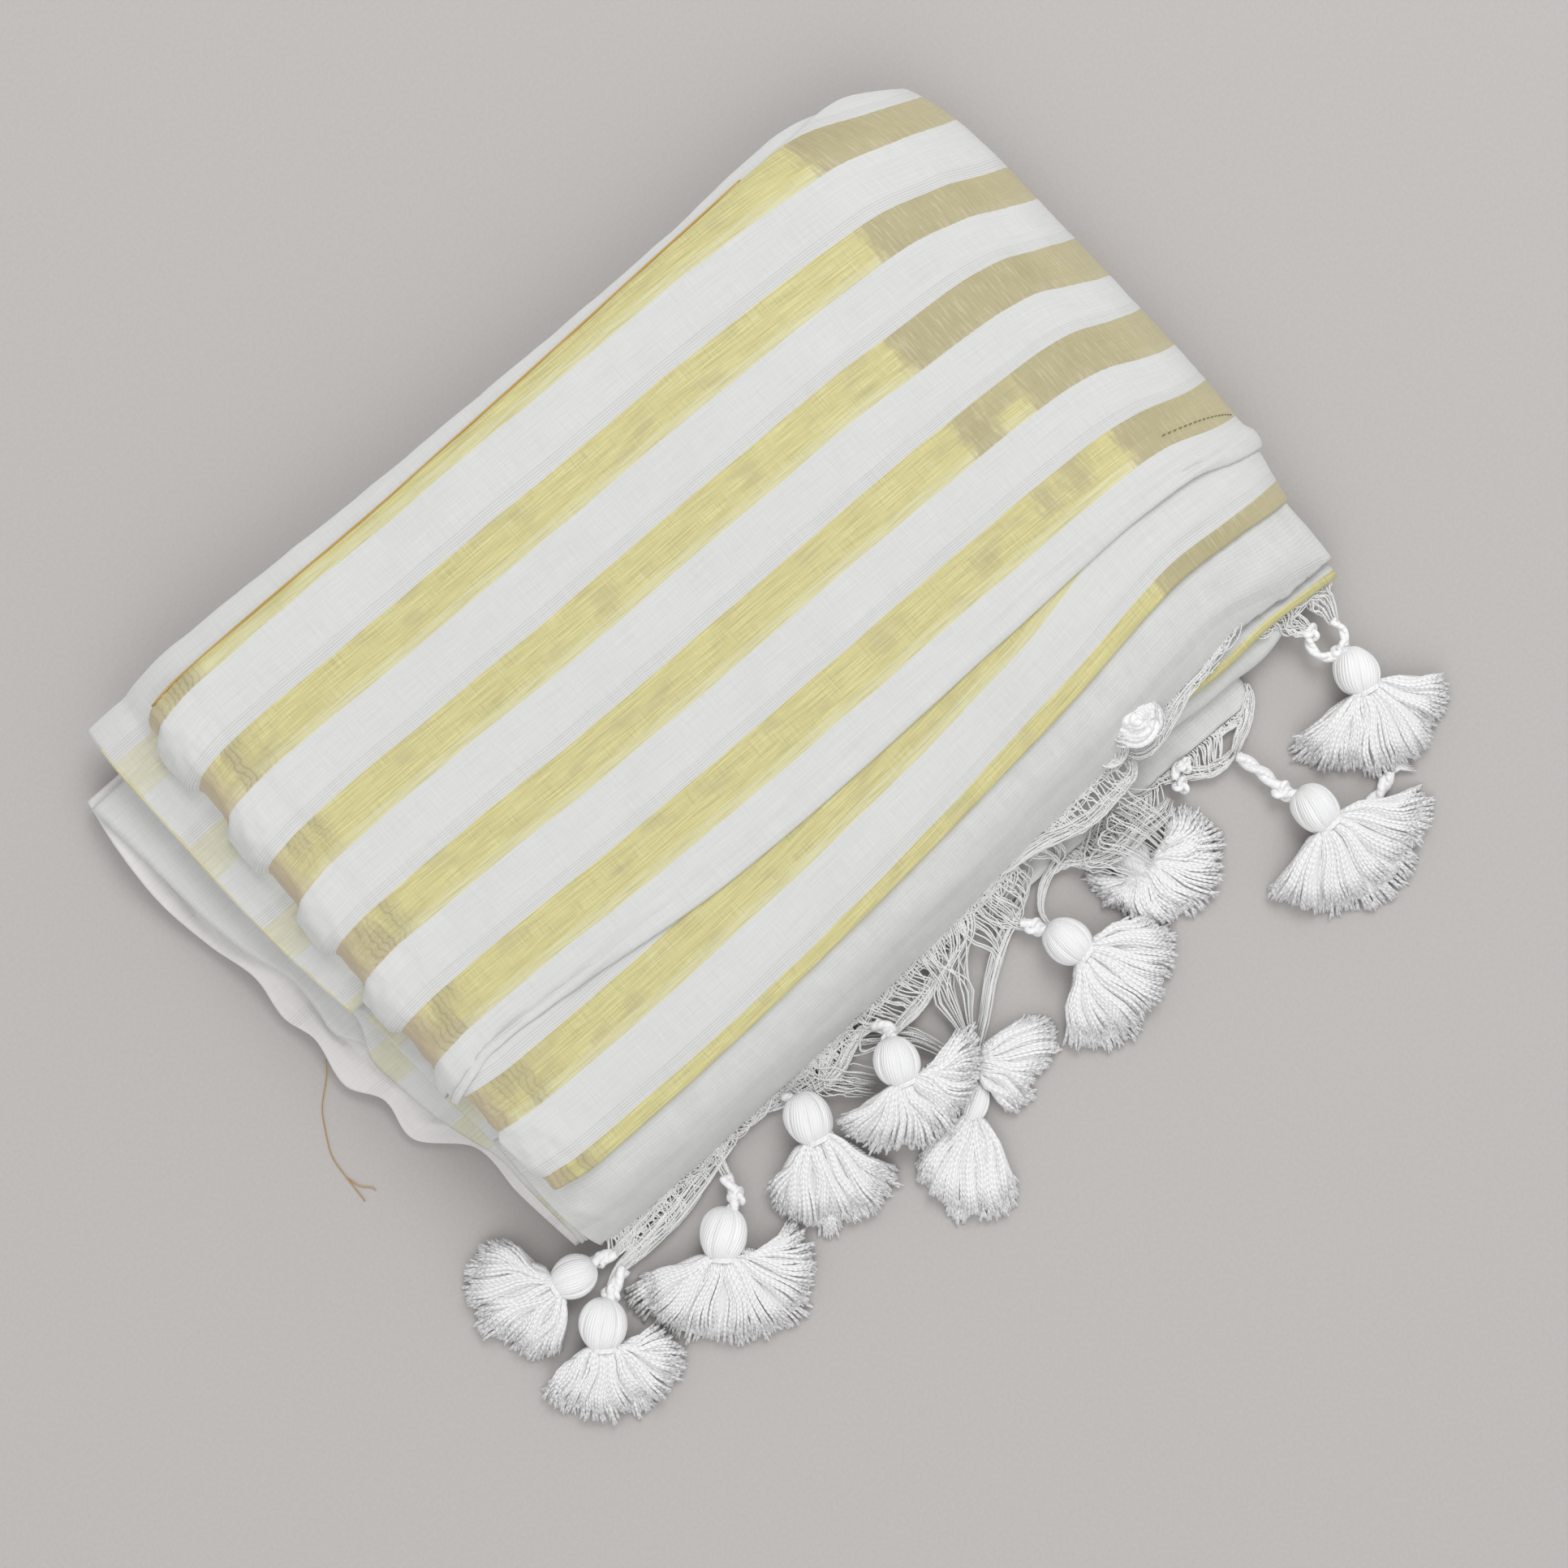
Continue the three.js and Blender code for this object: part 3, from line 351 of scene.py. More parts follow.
class Graph:
    """A short way to write a material's nodes."""

    def __init__(self, name):
        self.material = bpy.data.materials.new(name)
        self.material.use_nodes = True
        self.tree = self.material.node_tree

    def node(self, kind, values=(), output=0, **settings):
        """A new node's output."""
        made = self.tree.nodes.new("ShaderNode" + kind)
        for key, value in settings.items():
            setattr(made, key, value)
        self.fill(made, dict(values))
        return Value(self, made.outputs[output])

    def fill(self, node, values):
        for socket, value in values.items():
            if isinstance(value, Value):
                self.tree.links.new(value.socket, node.inputs[socket])
            else:
                node.inputs[socket].default_value = value

    def cloth_place(self):
        """Keeps the cloth's own coordinates, in millimetres, for the other nodes."""
        uv = self.node("UVMap", uv_map="cloth")
        self.u, self.v = (self.node("SeparateXYZ", {0: uv}, k) for k in (0, 1))

    def noise(self, per_u, per_v, detail=2.0, offset=0.0):
        """Noise that is drawn out one way: per_u and per_v are its spots for each millimetre."""
        place = self.node("CombineXYZ", {0: self.u * per_u, 1: self.v * per_v, 2: offset})
        return self.node("TexNoise", {"Vector": place, "Scale": 1.0, "Detail": detail, "Roughness": 0.55})

    def layers(self, colour, *laid):
        """The colour with others laid over it, each by its share."""
        for share, over in laid:
            colour = self.node("Mix", {0: share, 6: colour, 7: over}, 2, data_type="RGBA")
        return colour

    def scaled(self, colour, amount):
        """The colour, made darker or lighter by a value."""
        grey = self.node("CombineColor", {0: amount, 1: amount, 2: amount})
        return self.node("Mix", {0: 1.0, 6: colour, 7: grey}, 2, data_type="RGBA", blend_type="MULTIPLY")

    def bump(self, height, distance, strength):
        values = {"Height": height, "Distance": distance, "Strength": strength}
        self.fill(self.tree.nodes["Principled BSDF"], {"Normal": self.node("Bump", values)})

    def finish(self, colour, roughness, metallic, specular, sheen=0.0):
        self.fill(self.tree.nodes["Principled BSDF"],
                  {"Base Color": colour, "Roughness": roughness, "Metallic": metallic,
                   "Specular IOR Level": specular, "Sheen Weight": sheen})
        return self.material


WHITE = (0.665, 0.672, 0.658, 1)
YARN_WHITE = (0.955, 0.955, 0.96, 1)
ZARI = (0.60, 0.555, 0.265, 1)
ZARI_BRIGHT = (0.76, 0.715, 0.37, 1)
ZARI_DARK = (0.38, 0.345, 0.18, 1)
ZARI_PALE = (0.68, 0.66, 0.44, 1)
ZARI_DULL = (0.425, 0.375, 0.235, 1)
FADED = (0.62, 0.57, 0.41, 1)
# painted shade: grey for the zari's crumpled left end, and a dark olive for its creases that also marks dark
# threads in the dull zones
FOLD_SHADE_GREY = (0.385, 0.335, 0.225, 1)
CREASE_SHADE_AND_DARK_THREAD = (0.25, 0.21, 0.125, 1)
FOLD_PINK = (0.56, 0.47, 0.35, 1)
EDGE_ORANGE = (0.60, 0.43, 0.16, 1)
# white cotton with a painted pink cast of reflected light, used for layer B
PINKISH_WHITE = (0.75, 0.725, 0.725, 1)

# Where the zari turns dull at the right end: from and to across the cloth, from and to along it, and how
# much. The dullness is partly the zari's own duller threads and partly painted shade and lost sheen where the
# cloth turns down.
DULL = [
    (107, 300, -5, 18, 1), (104, 300, 28, 50, 1), (93, 300, 62, 82, 1), (91.5, 99, 94, 114, 0.9),
    (98, 108, 94, 105.5, 0.8), (107.5, 300, 94, 114, 1), (94.4, 99, 131, 140, 0.7),
    (101.5, 107.4, 128, 140, 0.6), (117, 300, 128, 147, 1), (70, 77, 134, 141, 0.4),
    (103.5, 300, 190, 205, 1),
]


def dulled(g, gold):
    """The zari's dull zones at the right end, partly its own duller threads and partly painted shade and lost
    sheen where the cloth turns down, with stray ends along single threads.
    """
    stray = g.noise(0.9, 0.16, 3.0, 8.0) - 0.5
    at_u, at_v = stray * 9.0 + g.u, stray * 3.0 + g.v
    away = 0.0
    for u_from, u_to, v_from, v_to, share in DULL:
        inside = at_u.window(u_from, u_to, 2.2) * at_v.window(v_from, v_to, 1.2)
        away = (inside * share).math("MAXIMUM", away)
    thread = g.noise(1.7, 0.12, 2.0, 7.0)
    # painted shade and lost sheen where the cloth turns down round the right end, over the zari's own duller
    # threads; weaker towards the far end
    dull_and_shade = away * g.u.spread(128.0, 168.0, 1.0, 0.62)
    cloud = g.noise(0.09, 0.12, 2.0, 12.0).spread(0.42, 0.62) * dull_and_shade
    return g.layers(gold, (dull_and_shade * 0.86, ZARI_DULL), (cloud * 0.22, ZARI_DARK),
                    (thread.spread(0.54, 0.68) * away * 0.16, CREASE_SHADE_AND_DARK_THREAD),
                    (thread.spread(0.46, 0.34) * away * 0.4, FADED),
                    (g.u.spread(125.0, 170.0, 0.0, 0.55) * away, FADED))


def creased(g, gold):
    """The zari's left end: painted shade, grey over its crumpled part and dark along its creases, pinkish at
    its tip, and its orange back edge.
    """
    near = g.u.spread(-122.0, -129.0)
    here = g.noise(0.14, 0.03, 1.0, 6.0).spread(0.40, 0.56)
    crease_shade = (g.noise(0.09, 0.24, 2.0, 9.0) * 2.6 + g.u * 0.5).wave().spread(0.25, 1.0)
    # painted shade: grey over the crumpled left end, and dark lines along its creases
    return g.layers(gold, ((here * 0.75 + 0.25) * near * 0.62, FOLD_SHADE_GREY),
                    (crease_shade * near * (here * 0.8 + 0.2) * 0.40, CREASE_SHADE_AND_DARK_THREAD),
                    (g.u.spread(-137.0, -143.5) * 0.75, FOLD_PINK),
                    (g.v.spread(9.0, 0.5) * g.u.spread(60.0, 20.0) * 0.5, EDGE_ORANGE))


def cloth_material(name, gold=0.0, last=300.0, pitch=STRIPE_PITCH, width=STRIPE_WIDTH, lines=0.05,
                   tone=1.0, pallu=False, weave=0.0, colour=WHITE, mottle=0.0):
    """Plain cotton weave, with zari stripes by the cloth's length coordinate up to last."""
    g = Graph(name)
    g.cloth_place()
    v = g.v
    at = v + g.noise(0.03, 0.02, 1.0).spread(0.3, 0.7, -0.3, 0.3)
    phase = ((at + 2 * pitch) * (1 / pitch)).math("FRACT") * pitch
    fuzz = g.noise(1.6, 0.4, offset=4.0).spread(0.3, 0.7, -0.1, 0.1)
    stripe = (phase + fuzz).window(0.0, width, 0.25) * v.window(-1.0, last, 0.2)
    selvage = phase.window(width - 2.9, width + 1.0, 0.5)
    weft = g.noise(0.07, 1.9, 3.0, 1.0)
    warp = g.noise(1.9, 0.10, 3.0, 2.0)
    fine = g.noise(0.9, 1.3, 2.0, 3.0)
    cloudy = g.noise(0.03, 0.05, 2.0, 5.0)

    # white ground: fine lines both ways, and a band of open threads behind each stripe
    open_band = phase.window(pitch - 4.2, pitch - 0.2, 0.5) * v.window(-7.0, last, 0.5)
    ground = (weft - 0.5) * (4 * lines) + tone
    ground += (phase.wave(0.82) + 0.7) * open_band * -0.075
    ground += (warp - 0.5) * 0.16 + (cloudy - 0.5) * 0.06
    if weave:
        ground += (v + cloudy * 3.0).wave(1.05) * weft.spread(0.35, 0.65) * weave
    if mottle:
        ground += (g.noise(0.16, 0.13, 3.0, 13.0) - 0.5) * mottle
        ground += (g.noise(1.3, 1.1, 2.0, 14.0) - 0.5) * 0.10
    white = g.scaled(colour, ground)

    # zari: bright and dark threads along the stripe, with pale ones across it
    hatched = g.noise(0.10, 0.16, 2.0, 8.0).spread(0.42, 0.62)
    zari = g.layers(ZARI, (weft.spread(0.50, 0.68) * 0.7, ZARI_BRIGHT),
                    (weft.spread(0.48, 0.33) * 0.42, ZARI_DARK),
                    (warp.spread(0.48, 0.36) * (hatched * 0.22 + 0.06), ZARI_DARK),
                    (warp.spread(0.52, 0.64) * (hatched * 0.3 + 0.06), ZARI_PALE),
                    (g.noise(0.07, 0.13, 1.0, 11.0).spread(0.56, 0.70) * 0.30, ZARI_DULL),
                    (selvage * weft.spread(0.3, 0.6, 0.15, 0.7), ZARI_PALE))
    if pallu:
        zari = creased(g, dulled(g, zari))
    g.bump(weft * 1.1 + warp * 0.8 + fine, 0.00016, 0.5)
    if not gold:
        return g.finish(white, 0.88, 0.0, 0.25, 0.12)
    return g.finish(g.layers(white, (stripe * gold, zari)), stripe * (-0.32 * gold) + 0.88,
                    stripe * (0.10 * gold), 0.25, 0.12)


def yarn_material(name, colour=YARN_WHITE, twist=0.55, depth=0.00018):
    """Loosely twisted cotton yarn: slanting plies along each tube, and a slight unevenness."""
    g = Graph(name)
    g.cloth_place()
    ply = (g.u * twist + g.v * 2.0).wave()
    fuzz = g.noise(2.5, 3.0, 3.0)
    shade = ply * 0.02 + 0.975 + (fuzz - 0.5) * 0.06 + (g.noise(0.10, 0.5, 2.0, 3.0) - 0.5) * 0.06
    g.bump(fuzz * 0.8 + ply, depth, 0.6)
    return g.finish(g.scaled(colour, shade), 0.9, 0.0, 0.2, 0.25)


def plain_material(name, colour, roughness, metallic):
    """A small thread or the floor: one colour with a fine grain."""
    g = Graph(name)
    place = g.node("TexCoord", output="Object")
    grain = g.node("TexNoise", {"Vector": place, "Scale": 900, "Detail": 3.0})
    return g.finish(g.scaled(colour, grain.spread(0.3, 0.7, 0.97, 1.03)), roughness, metallic, 0.25)


PALLU_CLOTH = cloth_material("pallu_cloth", gold=1.0, pallu=True)
END_CLOTH = cloth_material("end_cloth", lines=0.045, weave=0.05, mottle=0.16)
PALE_CLOTH = cloth_material("pale_cloth", gold=0.42, tone=0.99, width=12.8, pitch=33)
PLAIN_CLOTH = cloth_material("plain_cloth", tone=0.99)
# layer B's cloth: its pink cast is painted reflected light over the white
SOFT_CLOTH = cloth_material("soft_cloth", colour=PINKISH_WHITE)
FOLD_CLOTH = cloth_material("fold_cloth", gold=1.0, last=209.7)
YARN = yarn_material("tassel_yarn_white")
THREAD = yarn_material("fringe_thread_white", (0.98, 0.98, 0.975, 1), 1.1, 0.0001)
GOLD_THREAD = plain_material("zari_thread", (0.58, 0.36, 0.09, 1), 0.45, 0.4)
PALE_THREAD = plain_material("selvedge_gold", (0.80, 0.70, 0.36, 1), 0.5, 0.2)
DARK_THREAD = plain_material("dark_thread", (0.25, 0.21, 0.12, 1), 0.7, 0.1)


def piece(name, parts, material, slot, *nodes):
    """A visible piece of one or more meshes, in place of its nodes' solids."""
    made = mesh_object(name, *joined(parts), material)
    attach(made, "root")
    if nodes:
        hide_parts(*nodes)
    return made


# ---- the pallu's sheets
def pallu_rows(names, step=1.35):
    """Row lines between named lines: the two named ones, and the share of the way between them."""
    rows = []
    for a, b in zip(names, names[1:]):
        first = LENGTH_AT.get(a)
        span = LENGTH_AT[b] - first if first is not None else 8.0
        count = max(2, round(span / step))
        rows += [(a, b, k / count) for k in range(count)]
    return [*rows, (names[-1], names[-1], 0.0)]


def placed_rows(rows, flat_x, turn):
    """Plan y and cloth length along each row."""
    placed = []
    for a, b, share in rows:
        ya, yb = column_line(flat_x, turn, a), column_line(flat_x, turn, b)
        y = mix(ya, yb, share)
        if a in LENGTH_AT:
            length = np.full(len(y), mix(LENGTH_AT[a], LENGTH_AT[b], share))
        else:
            length = LENGTH_AT[b] - (y - yb) * (1 + 0.22 * smoothstep(110, 140, column_x(flat_x, turn, y)))
        placed.append((y, length))
    return placed


def pallu_point(flat_x, turn, y):
    """Places on the pallu's surface, with the puffs at the stripes' left ends."""
    x = column_x(flat_x, turn, y)
    puff = np.where(turn <= 0, smooth_read(PUFF_X, PUFF_RISE, x), 0)
    return bundle(flat_x, turn, y, stack_height(x, y) + puff)


def grid_on(placed, flat_x, turn, width_at):
    """Points and cloth coordinates of rows on the bundle."""
    points, uvs = [], []
    for y, length in placed:
        points.append(pallu_point(flat_x, turn, y))
        uvs.append(stacked(width_at, length))
    return np.array(points), np.array(uvs)


def pallu_grid(rows, flat_x, turn, width_at):
    return grid_on(placed_rows(rows, flat_x, turn), flat_x, turn, width_at)


TOP_CREASES = [
    # x0, y0, x1, y1, width, height
    (-146, -43, -112, -38, 2.2, 0.7), (-133, -47, -60, -40.5, 1.6, 0.45), (20, -38.5, 150, -37, 2.0, 0.5),
    (96, -30, 158, -41, 2.6, 0.9), (110, -24, 158, -33, 2.4, -0.5), (112, 99, 120, 8, 7.0, 0.7),
    (134, 92, 139, -14, 5.0, 0.8), (127, 80, 130, 10, 3.5, -0.5), (148, 60, 152, -30, 3.0, 0.5),
    (43, 98, 45, -30, 8.0, -0.35), (-7, 90, -5, -40, 9.0, -0.35), (-60, 84, 30, 88, 7.0, 0.4),
    (-100, 20, -20, 24, 8.0, 0.35), (0, -12, 90, -8, 7.0, 0.4), (-90, 55, 10, 52, 6.0, 0.3),
    (60, 52, 110, 48, 5.0, 0.35), (-132, 96, -133, -44, 2.6, -0.5), (-126, 70, -125, -30, 4.0, 0.35),
    (-143, 80, -144, -40, 2.0, 0.3), (64, 20, 125, 24, 5.5, 0.4),
]


def gold_share(length):
    """1 inside a stripe, for wrinkles that only the stiff zari takes."""
    phase = np.mod(length, STRIPE_PITCH)
    phase = np.where(phase > STRIPE_PITCH - 4, phase - STRIPE_PITCH, phase)
    return smoothstep(-2.6, 1.0, phase) * (1 - smoothstep(STRIPE_WIDTH - 1.0, STRIPE_WIDTH + 2.6, phase))


def crumpled(grid, uv, creases, lift):
    """The sheet at its height, with the listed creases, low unevenness and fine wrinkles at both ends."""
    x, y = grid[..., 0], grid[..., 1]
    u, v = uv[..., 0], uv[..., 1]
    rise = lift + relief(x, y, creases)
    rise = rise + 0.16 * wobble(u + 0.3 * v, 41, 1.0) + 0.10 * wobble(v - 0.2 * u, 17, 2.0)
    near_end = 1 - smoothstep(-143, -122, u)
    wavy = u / 1.5 + 0.5 * wobble(v, 9.0, 3.0)
    rise = rise + 0.12 * np.sin(2 * np.pi * wavy) * gold_share(v) * near_end * smoothstep(-148, -144, u)
    soft = 0.16 * np.sin(2 * np.pi * (u / 4.3 + 0.5 * wobble(v, 23, 5.0))) * near_end
    right = smoothstep(100, 125, u) * (1 - smoothstep(150, 175, u))
    ribs = 0.13 * np.sin(2 * np.pi * (u / 3.1 + 0.8 * wobble(v, 21, 6.0))) * right
    rise = rise + soft + ribs * (0.4 + 0.6 * gold_share(v))
    end = 1 - smoothstep(-147.5, -138, u)
    rise = rise + 0.9 * end * (1 - gold_share(v))
    made = grid + normals(grid) * rise[..., None]
    made[..., 0] += 2.5 * end * end * gold_share(v)
    return made


def pallu_top():
    flat_x, turn, width_at = columns()
    names = ["backEdge", *[n for n in LENGTH_AT if LENGTH_AT[n] <= 150.2]]
    grid, uv = pallu_grid(pallu_rows(names), flat_x, turn, width_at)
    grid = crumpled(grid, uv, TOP_CREASES, PALLU_LIFT)
    grid, uv = rolled_edge(grid, uv, "first", radius=1.15, turn=175, tuck=6)
    taper = smoothstep(8, 20, np.arange(len(grid)))
    grid, uv = rolled_edge(grid, uv, "left", radius=mix(0.25, 1.5, taper), turn=165,
                           tuck=mix(0.4, 6, taper))
    return piece("pallu_top_cloth", [shell(grid, uv)], PALLU_CLOTH, "pallu_striped", "pallu_top")


PLEAT_ACROSS = [-0.45, -0.3, -0.1, 0.1, 0.28, 0.45, 0.62, 0.78, 0.92]
PLEAT_RISE = [-0.15, 0.08, 0.2, 0.5, 1.25, 1.95, 2.3, 2.25, 1.75]
PLEAT_CREASES = [
    (-146, -47, -112, -42, 1.0, 0.4), (-108, -45.5, -60, -43.2, 0.9, 0.5), (70, -42, 160, -47, 1.3, 0.6),
    (95, -44.5, 160, -44, 0.8, -0.5), (-60, -46, 20, -44.5, 1.0, 0.25),
]
PLEAT_LEFT = -145.0


def pallu_pleat():
    flat_x, turn, width_at = columns(start=PLEAT_LEFT, fine=0.8)
    across = np.linspace(PLEAT_ACROSS[0], PLEAT_ACROSS[-1], 28)
    rows = [("pleatTop", "pleatLow", t) if t > 0 else ("pleatTop", "stripe5Low", -t) for t in across]
    grid, uv = pallu_grid(rows, flat_x, turn, width_at)
    rise = smooth_read(PLEAT_ACROSS, PLEAT_RISE, across)[:, None]
    rise = rise * mix(0.4, 1, smoothstep(-128, -85, grid[..., 0]))
    rise = rise + 0.22 * wobble(uv[..., 0], 47, 4.0) * np.clip(across, 0, 1)[:, None]
    slack = relief(grid[..., 0], grid[..., 1], PLEAT_CREASES) * smoothstep(0, 0.3, across)[:, None]
    grid = crumpled(grid, uv, TOP_CREASES, PALLU_LIFT + rise + slack)
    plump = mix(0.45, 1.05, smoothstep(-130, -80, grid[-1, :, 0]))
    grid, uv = rolled_edge(grid, uv, "last", radius=plump, turn=178, tuck=2.5)
    row = np.arange(len(grid))
    taper = smoothstep(0, 8, row) * (1 - smoothstep(-22, -10, row - len(grid)))
    grid, uv = rolled_edge(grid, uv, "left", radius=mix(0.25, 1.2, taper), turn=150,
                           tuck=mix(0.4, 4, taper))
    return piece("pallu_pleat_cloth", [shell(grid, uv)], PALLU_CLOTH, "pallu_striped", "pallu_pleat")


MID_CREASES = [
    (-140, -56, -130, -84, 2.5, 0.8), (-133, -60, -120, -82, 3.0, -0.5), (-60, -73, 40, -64, 4.0, 0.35),
    (60, -56, 150, -58, 2.5, 0.5), (-110, -76, -20, -73, 3.5, 0.3), (90, -54, 155, -55, 1.8, 0.4),
    (100, -60, 152, -62, 2.0, -0.4),
]
HIDDEN_FROM = 154.2               # cloth length where the sheet comes out from under the pleat, at its widest


def pallu_mid():
    """The sheet below the pleat: its sixth stripe keeps its width and runs in under the pleat."""
    flat_x, turn, width_at = columns(start=-143.3, fine=0.5)
    low, gold_low = column_line(flat_x, turn, "pleatTop"), column_line(flat_x, turn, "stripe6Low")
    hidden = mix(low, column_line(flat_x, turn, "pleatLow"), 0.4)
    below = LENGTH_AT["stripe6Low"] - np.arange(HIDDEN_FROM, LENGTH_AT["stripe6Low"] - 0.5, 1.1)
    placed = [(np.minimum(gold_low + to_low, hidden - 0.03 * k),
               np.full(len(low), LENGTH_AT["stripe6Low"] - to_low)) for k, to_low in enumerate(below)]
    placed += placed_rows(pallu_rows(["stripe6Low", "stripe7Top", "stripe7Low"], 1.1), flat_x, turn)
    grid, uv = grid_on(placed, flat_x, turn, width_at)
    grid = crumpled(grid, uv, MID_CREASES, PALLU_LIFT)
    near = smoothstep(-128, -145, grid[..., 0])
    low = smoothstep(-60, -88, grid[..., 1])
    grid[..., 0] += 1.2 * near * low
    grid[..., 2] -= 1.5 * near * low
    grid, uv = rolled_edge(grid, uv, "last", radius=0.8, turn=180, tuck=4.0)
    taper = 1 - smoothstep(-20, -9, np.arange(len(grid)) - len(grid))
    grid, uv = rolled_edge(grid, uv, "left", radius=mix(0.25, 1.0, taper), turn=150,
                           tuck=mix(0.4, 3, taper))
    return piece("pallu_mid_cloth", [shell(grid, uv)], PALLU_CLOTH, "pallu_striped", "pallu_mid")


def front_point(x, t):
    """y and z on the front slope, from the narrow stripe, where t is 0, to the hem, where it is 1."""
    top, hem = line_y("stripe7Low", x) + 5, line_y("endHem", x)
    top_z, hem_z = stack_height(x, top), smooth_read(STATION_X, END_HEM_Z, x) - 0.9
    a, b, c = (1 - t) ** 2, 2 * t * (1 - t), t * t
    return a * top + b * mix(top, hem, 0.72) + c * hem, a * top_z + b * (top_z - 2.5) + c * hem_z


END_CREASES = [
    (-140, -96, -60, -99, 3.0, 0.4), (-120, -104, -30, -101, 2.5, 0.5), (-50, -94, 30, -90, 4.0, 0.4),
    (20, -88, 90, -80, 4.0, 0.5), (38, -78, 42, -97, 3.5, -0.7), (84, -72, 80, -88, 4.0, 0.7),
    (98, -70, 150, -72, 3.0, 0.5), (110, -80, 155, -78, 2.5, 0.5), (-145, -92, -136, -108, 2.0, 0.8),
    (118, -70, 124, -88, 3.0, -0.5), (132, -74, 138, -90, 2.5, 0.7),
]
HEM_RAGGED = 0.55
END_FROM = 187                    # cloth length where the end zone's sheet starts


def pallu_end():
    flat_x, turn, width_at = columns(start=-148, fine_to=-140, full=100, step=1.3)
    x = column_x(flat_x, turn, line_y("endHem", flat_x))
    points = []
    for t in np.concatenate([[-16, -10, -5], np.linspace(0, 1, 30)]):
        y, z = front_point(x, max(t, 0))
        if t < 0:
            y = y - t
            z = stack_height(x, y)
        if t == 1:
            y = y + HEM_RAGGED * wobble(x, 6.0, 3.0)
        points.append(bundle(flat_x, turn, y, z))
    grid = np.array(points)
    uv = stacked(width_at, END_FROM + run_length(grid))
    rise = UNDER_LIFT + relief(grid[..., 0], grid[..., 1], END_CREASES) + 0.2 * wobble(uv[..., 0], 33, 2.0)
    grid = grid + normals(grid) * rise[..., None]
    corner = smoothstep(-64, -90, grid[..., 1]) * smoothstep(112, 150, grid[..., 0])
    grid += corner[..., None] * [4.0, -6.6, -1.4]
    return piece("pallu_end_cloth", [shell(grid, uv)], END_CLOTH, "cotton_white", "pallu_end")


# ---- the layers that lie out at the left and back
A_EDGE_Y = [-8, 18, 42, 82, 108]
A_EDGE_X = [-156.8, -160.7, -162.7, -164.2, -165]
A_FRONT = -8.0
A_LENGTH_FROM = 127.5             # layer A's cloth length where y is 0
A_CREASES = [(-154, 104, -152, -6, 1.8, 0.4), (-160, 90, -157, 10, 1.6, -0.4)]


def under_layer_a():
    """Layer A: its back edge is a fold behind the pallu, its left edge a selvedge past the pallu's end."""
    flat_x, turn, width_at = columns(start=-146.5, fine_to=-141, full=92, step=3.0)
    shares = np.linspace(0, 1, 52)
    rows = []
    for s in shares:
        outer_y = mix(line_y("underBack", -150), A_FRONT, s)
        outer_x = smooth_read(A_EDGE_Y, A_EDGE_X, outer_y)
        y = mix(column_line(flat_x, turn, "underBack"), A_FRONT, s)
        inner = bundle(flat_x, turn, y, stack_height(column_x(flat_x, turn, y), y))
        out = np.linspace(outer_x, flat_x[0], 13)[:-1]
        loose = stacked(out, np.full(12, outer_y), stack_height(out, outer_y))
        rows.append(np.concatenate([loose, inner]))
    grid = np.array(rows)
    width = np.concatenate([np.linspace(-165, width_at[0], 13)[:-1], width_at])
    uv = stacked(width[None], A_LENGTH_FROM - grid[..., 1])
    x, y = grid[..., 0], grid[..., 1]
    rise = UNDER_LIFT + 0.25 * wobble(x, 27, 1.0) + 0.12 * wobble(y, 19, 2.0)
    rise = rise + relief(x, y, A_CREASES)
    grid = grid + normals(grid) * rise[..., None]
    grid, uv = rolled_edge(grid, uv, "first", radius=1.0, turn=175, tuck=4)
    return piece("under_layer_a_cloth", [shell(grid, uv)], PALE_CLOTH, "pallu_striped", "under_layer_a")


B_EDGE = [
    (95, -180.5, 6.5), (76, -182.5, 9.5), (56, -183.5, 6.5), (36, -180.5, 4.5), (20, -175.8, 7.5),
    (5, -177.5, 4.5), (-6, -174, 6.5), (-23, -176.5, 4), (-34, -169.8, 6), (-49, -171, 3.5),
    (-63, -158, 4.5), (-82, -156.6, 6.5), (-106, -154, 3.5),
]
BODY_LEFT = -145.5
UNDER_SLOPE_Y = [-110, -107, -104, -99, -90, -80]
UNDER_SLOPE_Z = [1, 5, 10, 15.5, 21.5, 26]


def edge_sheet(edge, inner_x, inner_z, steps, wave, table=(), length_from=0.0):
    """A sheet from an inner line out to an uneven edge, which is rows of y, x and z."""
    rows = np.array(sorted(edge), float)
    y = np.arange(rows[0, 0], rows[-1, 0] + 0.1, 1.4)
    x, z = smooth_read(rows[:, 0], rows[:, 1], y), smooth_read(rows[:, 0], rows[:, 2], y)
    t = np.linspace(0, 1, steps)
    gx = mix(inner_x, x[:, None], t)
    inside = np.minimum(inner_z, smooth_read(UNDER_SLOPE_Y, UNDER_SLOPE_Z, y))
    gz = mix(inside[:, None], z[:, None], t) + wave(y)[:, None] * np.sin(np.pi * t)
    gy = np.repeat(y[:, None], steps, 1)
    gz = gz + relief(gx, gy, table)
    grid = stacked(gx, gy, np.maximum(gz, 0.6))
    return grid, stacked(gx, length_from - gy)


def b_wave(y):
    """How far layer B rises and falls between its inner line and its edge."""
    index = smooth_read([r[0] for r in sorted(B_EDGE)], np.arange(len(B_EDGE))[::-1], y)
    return 1.3 * np.sin(index * 1.9)


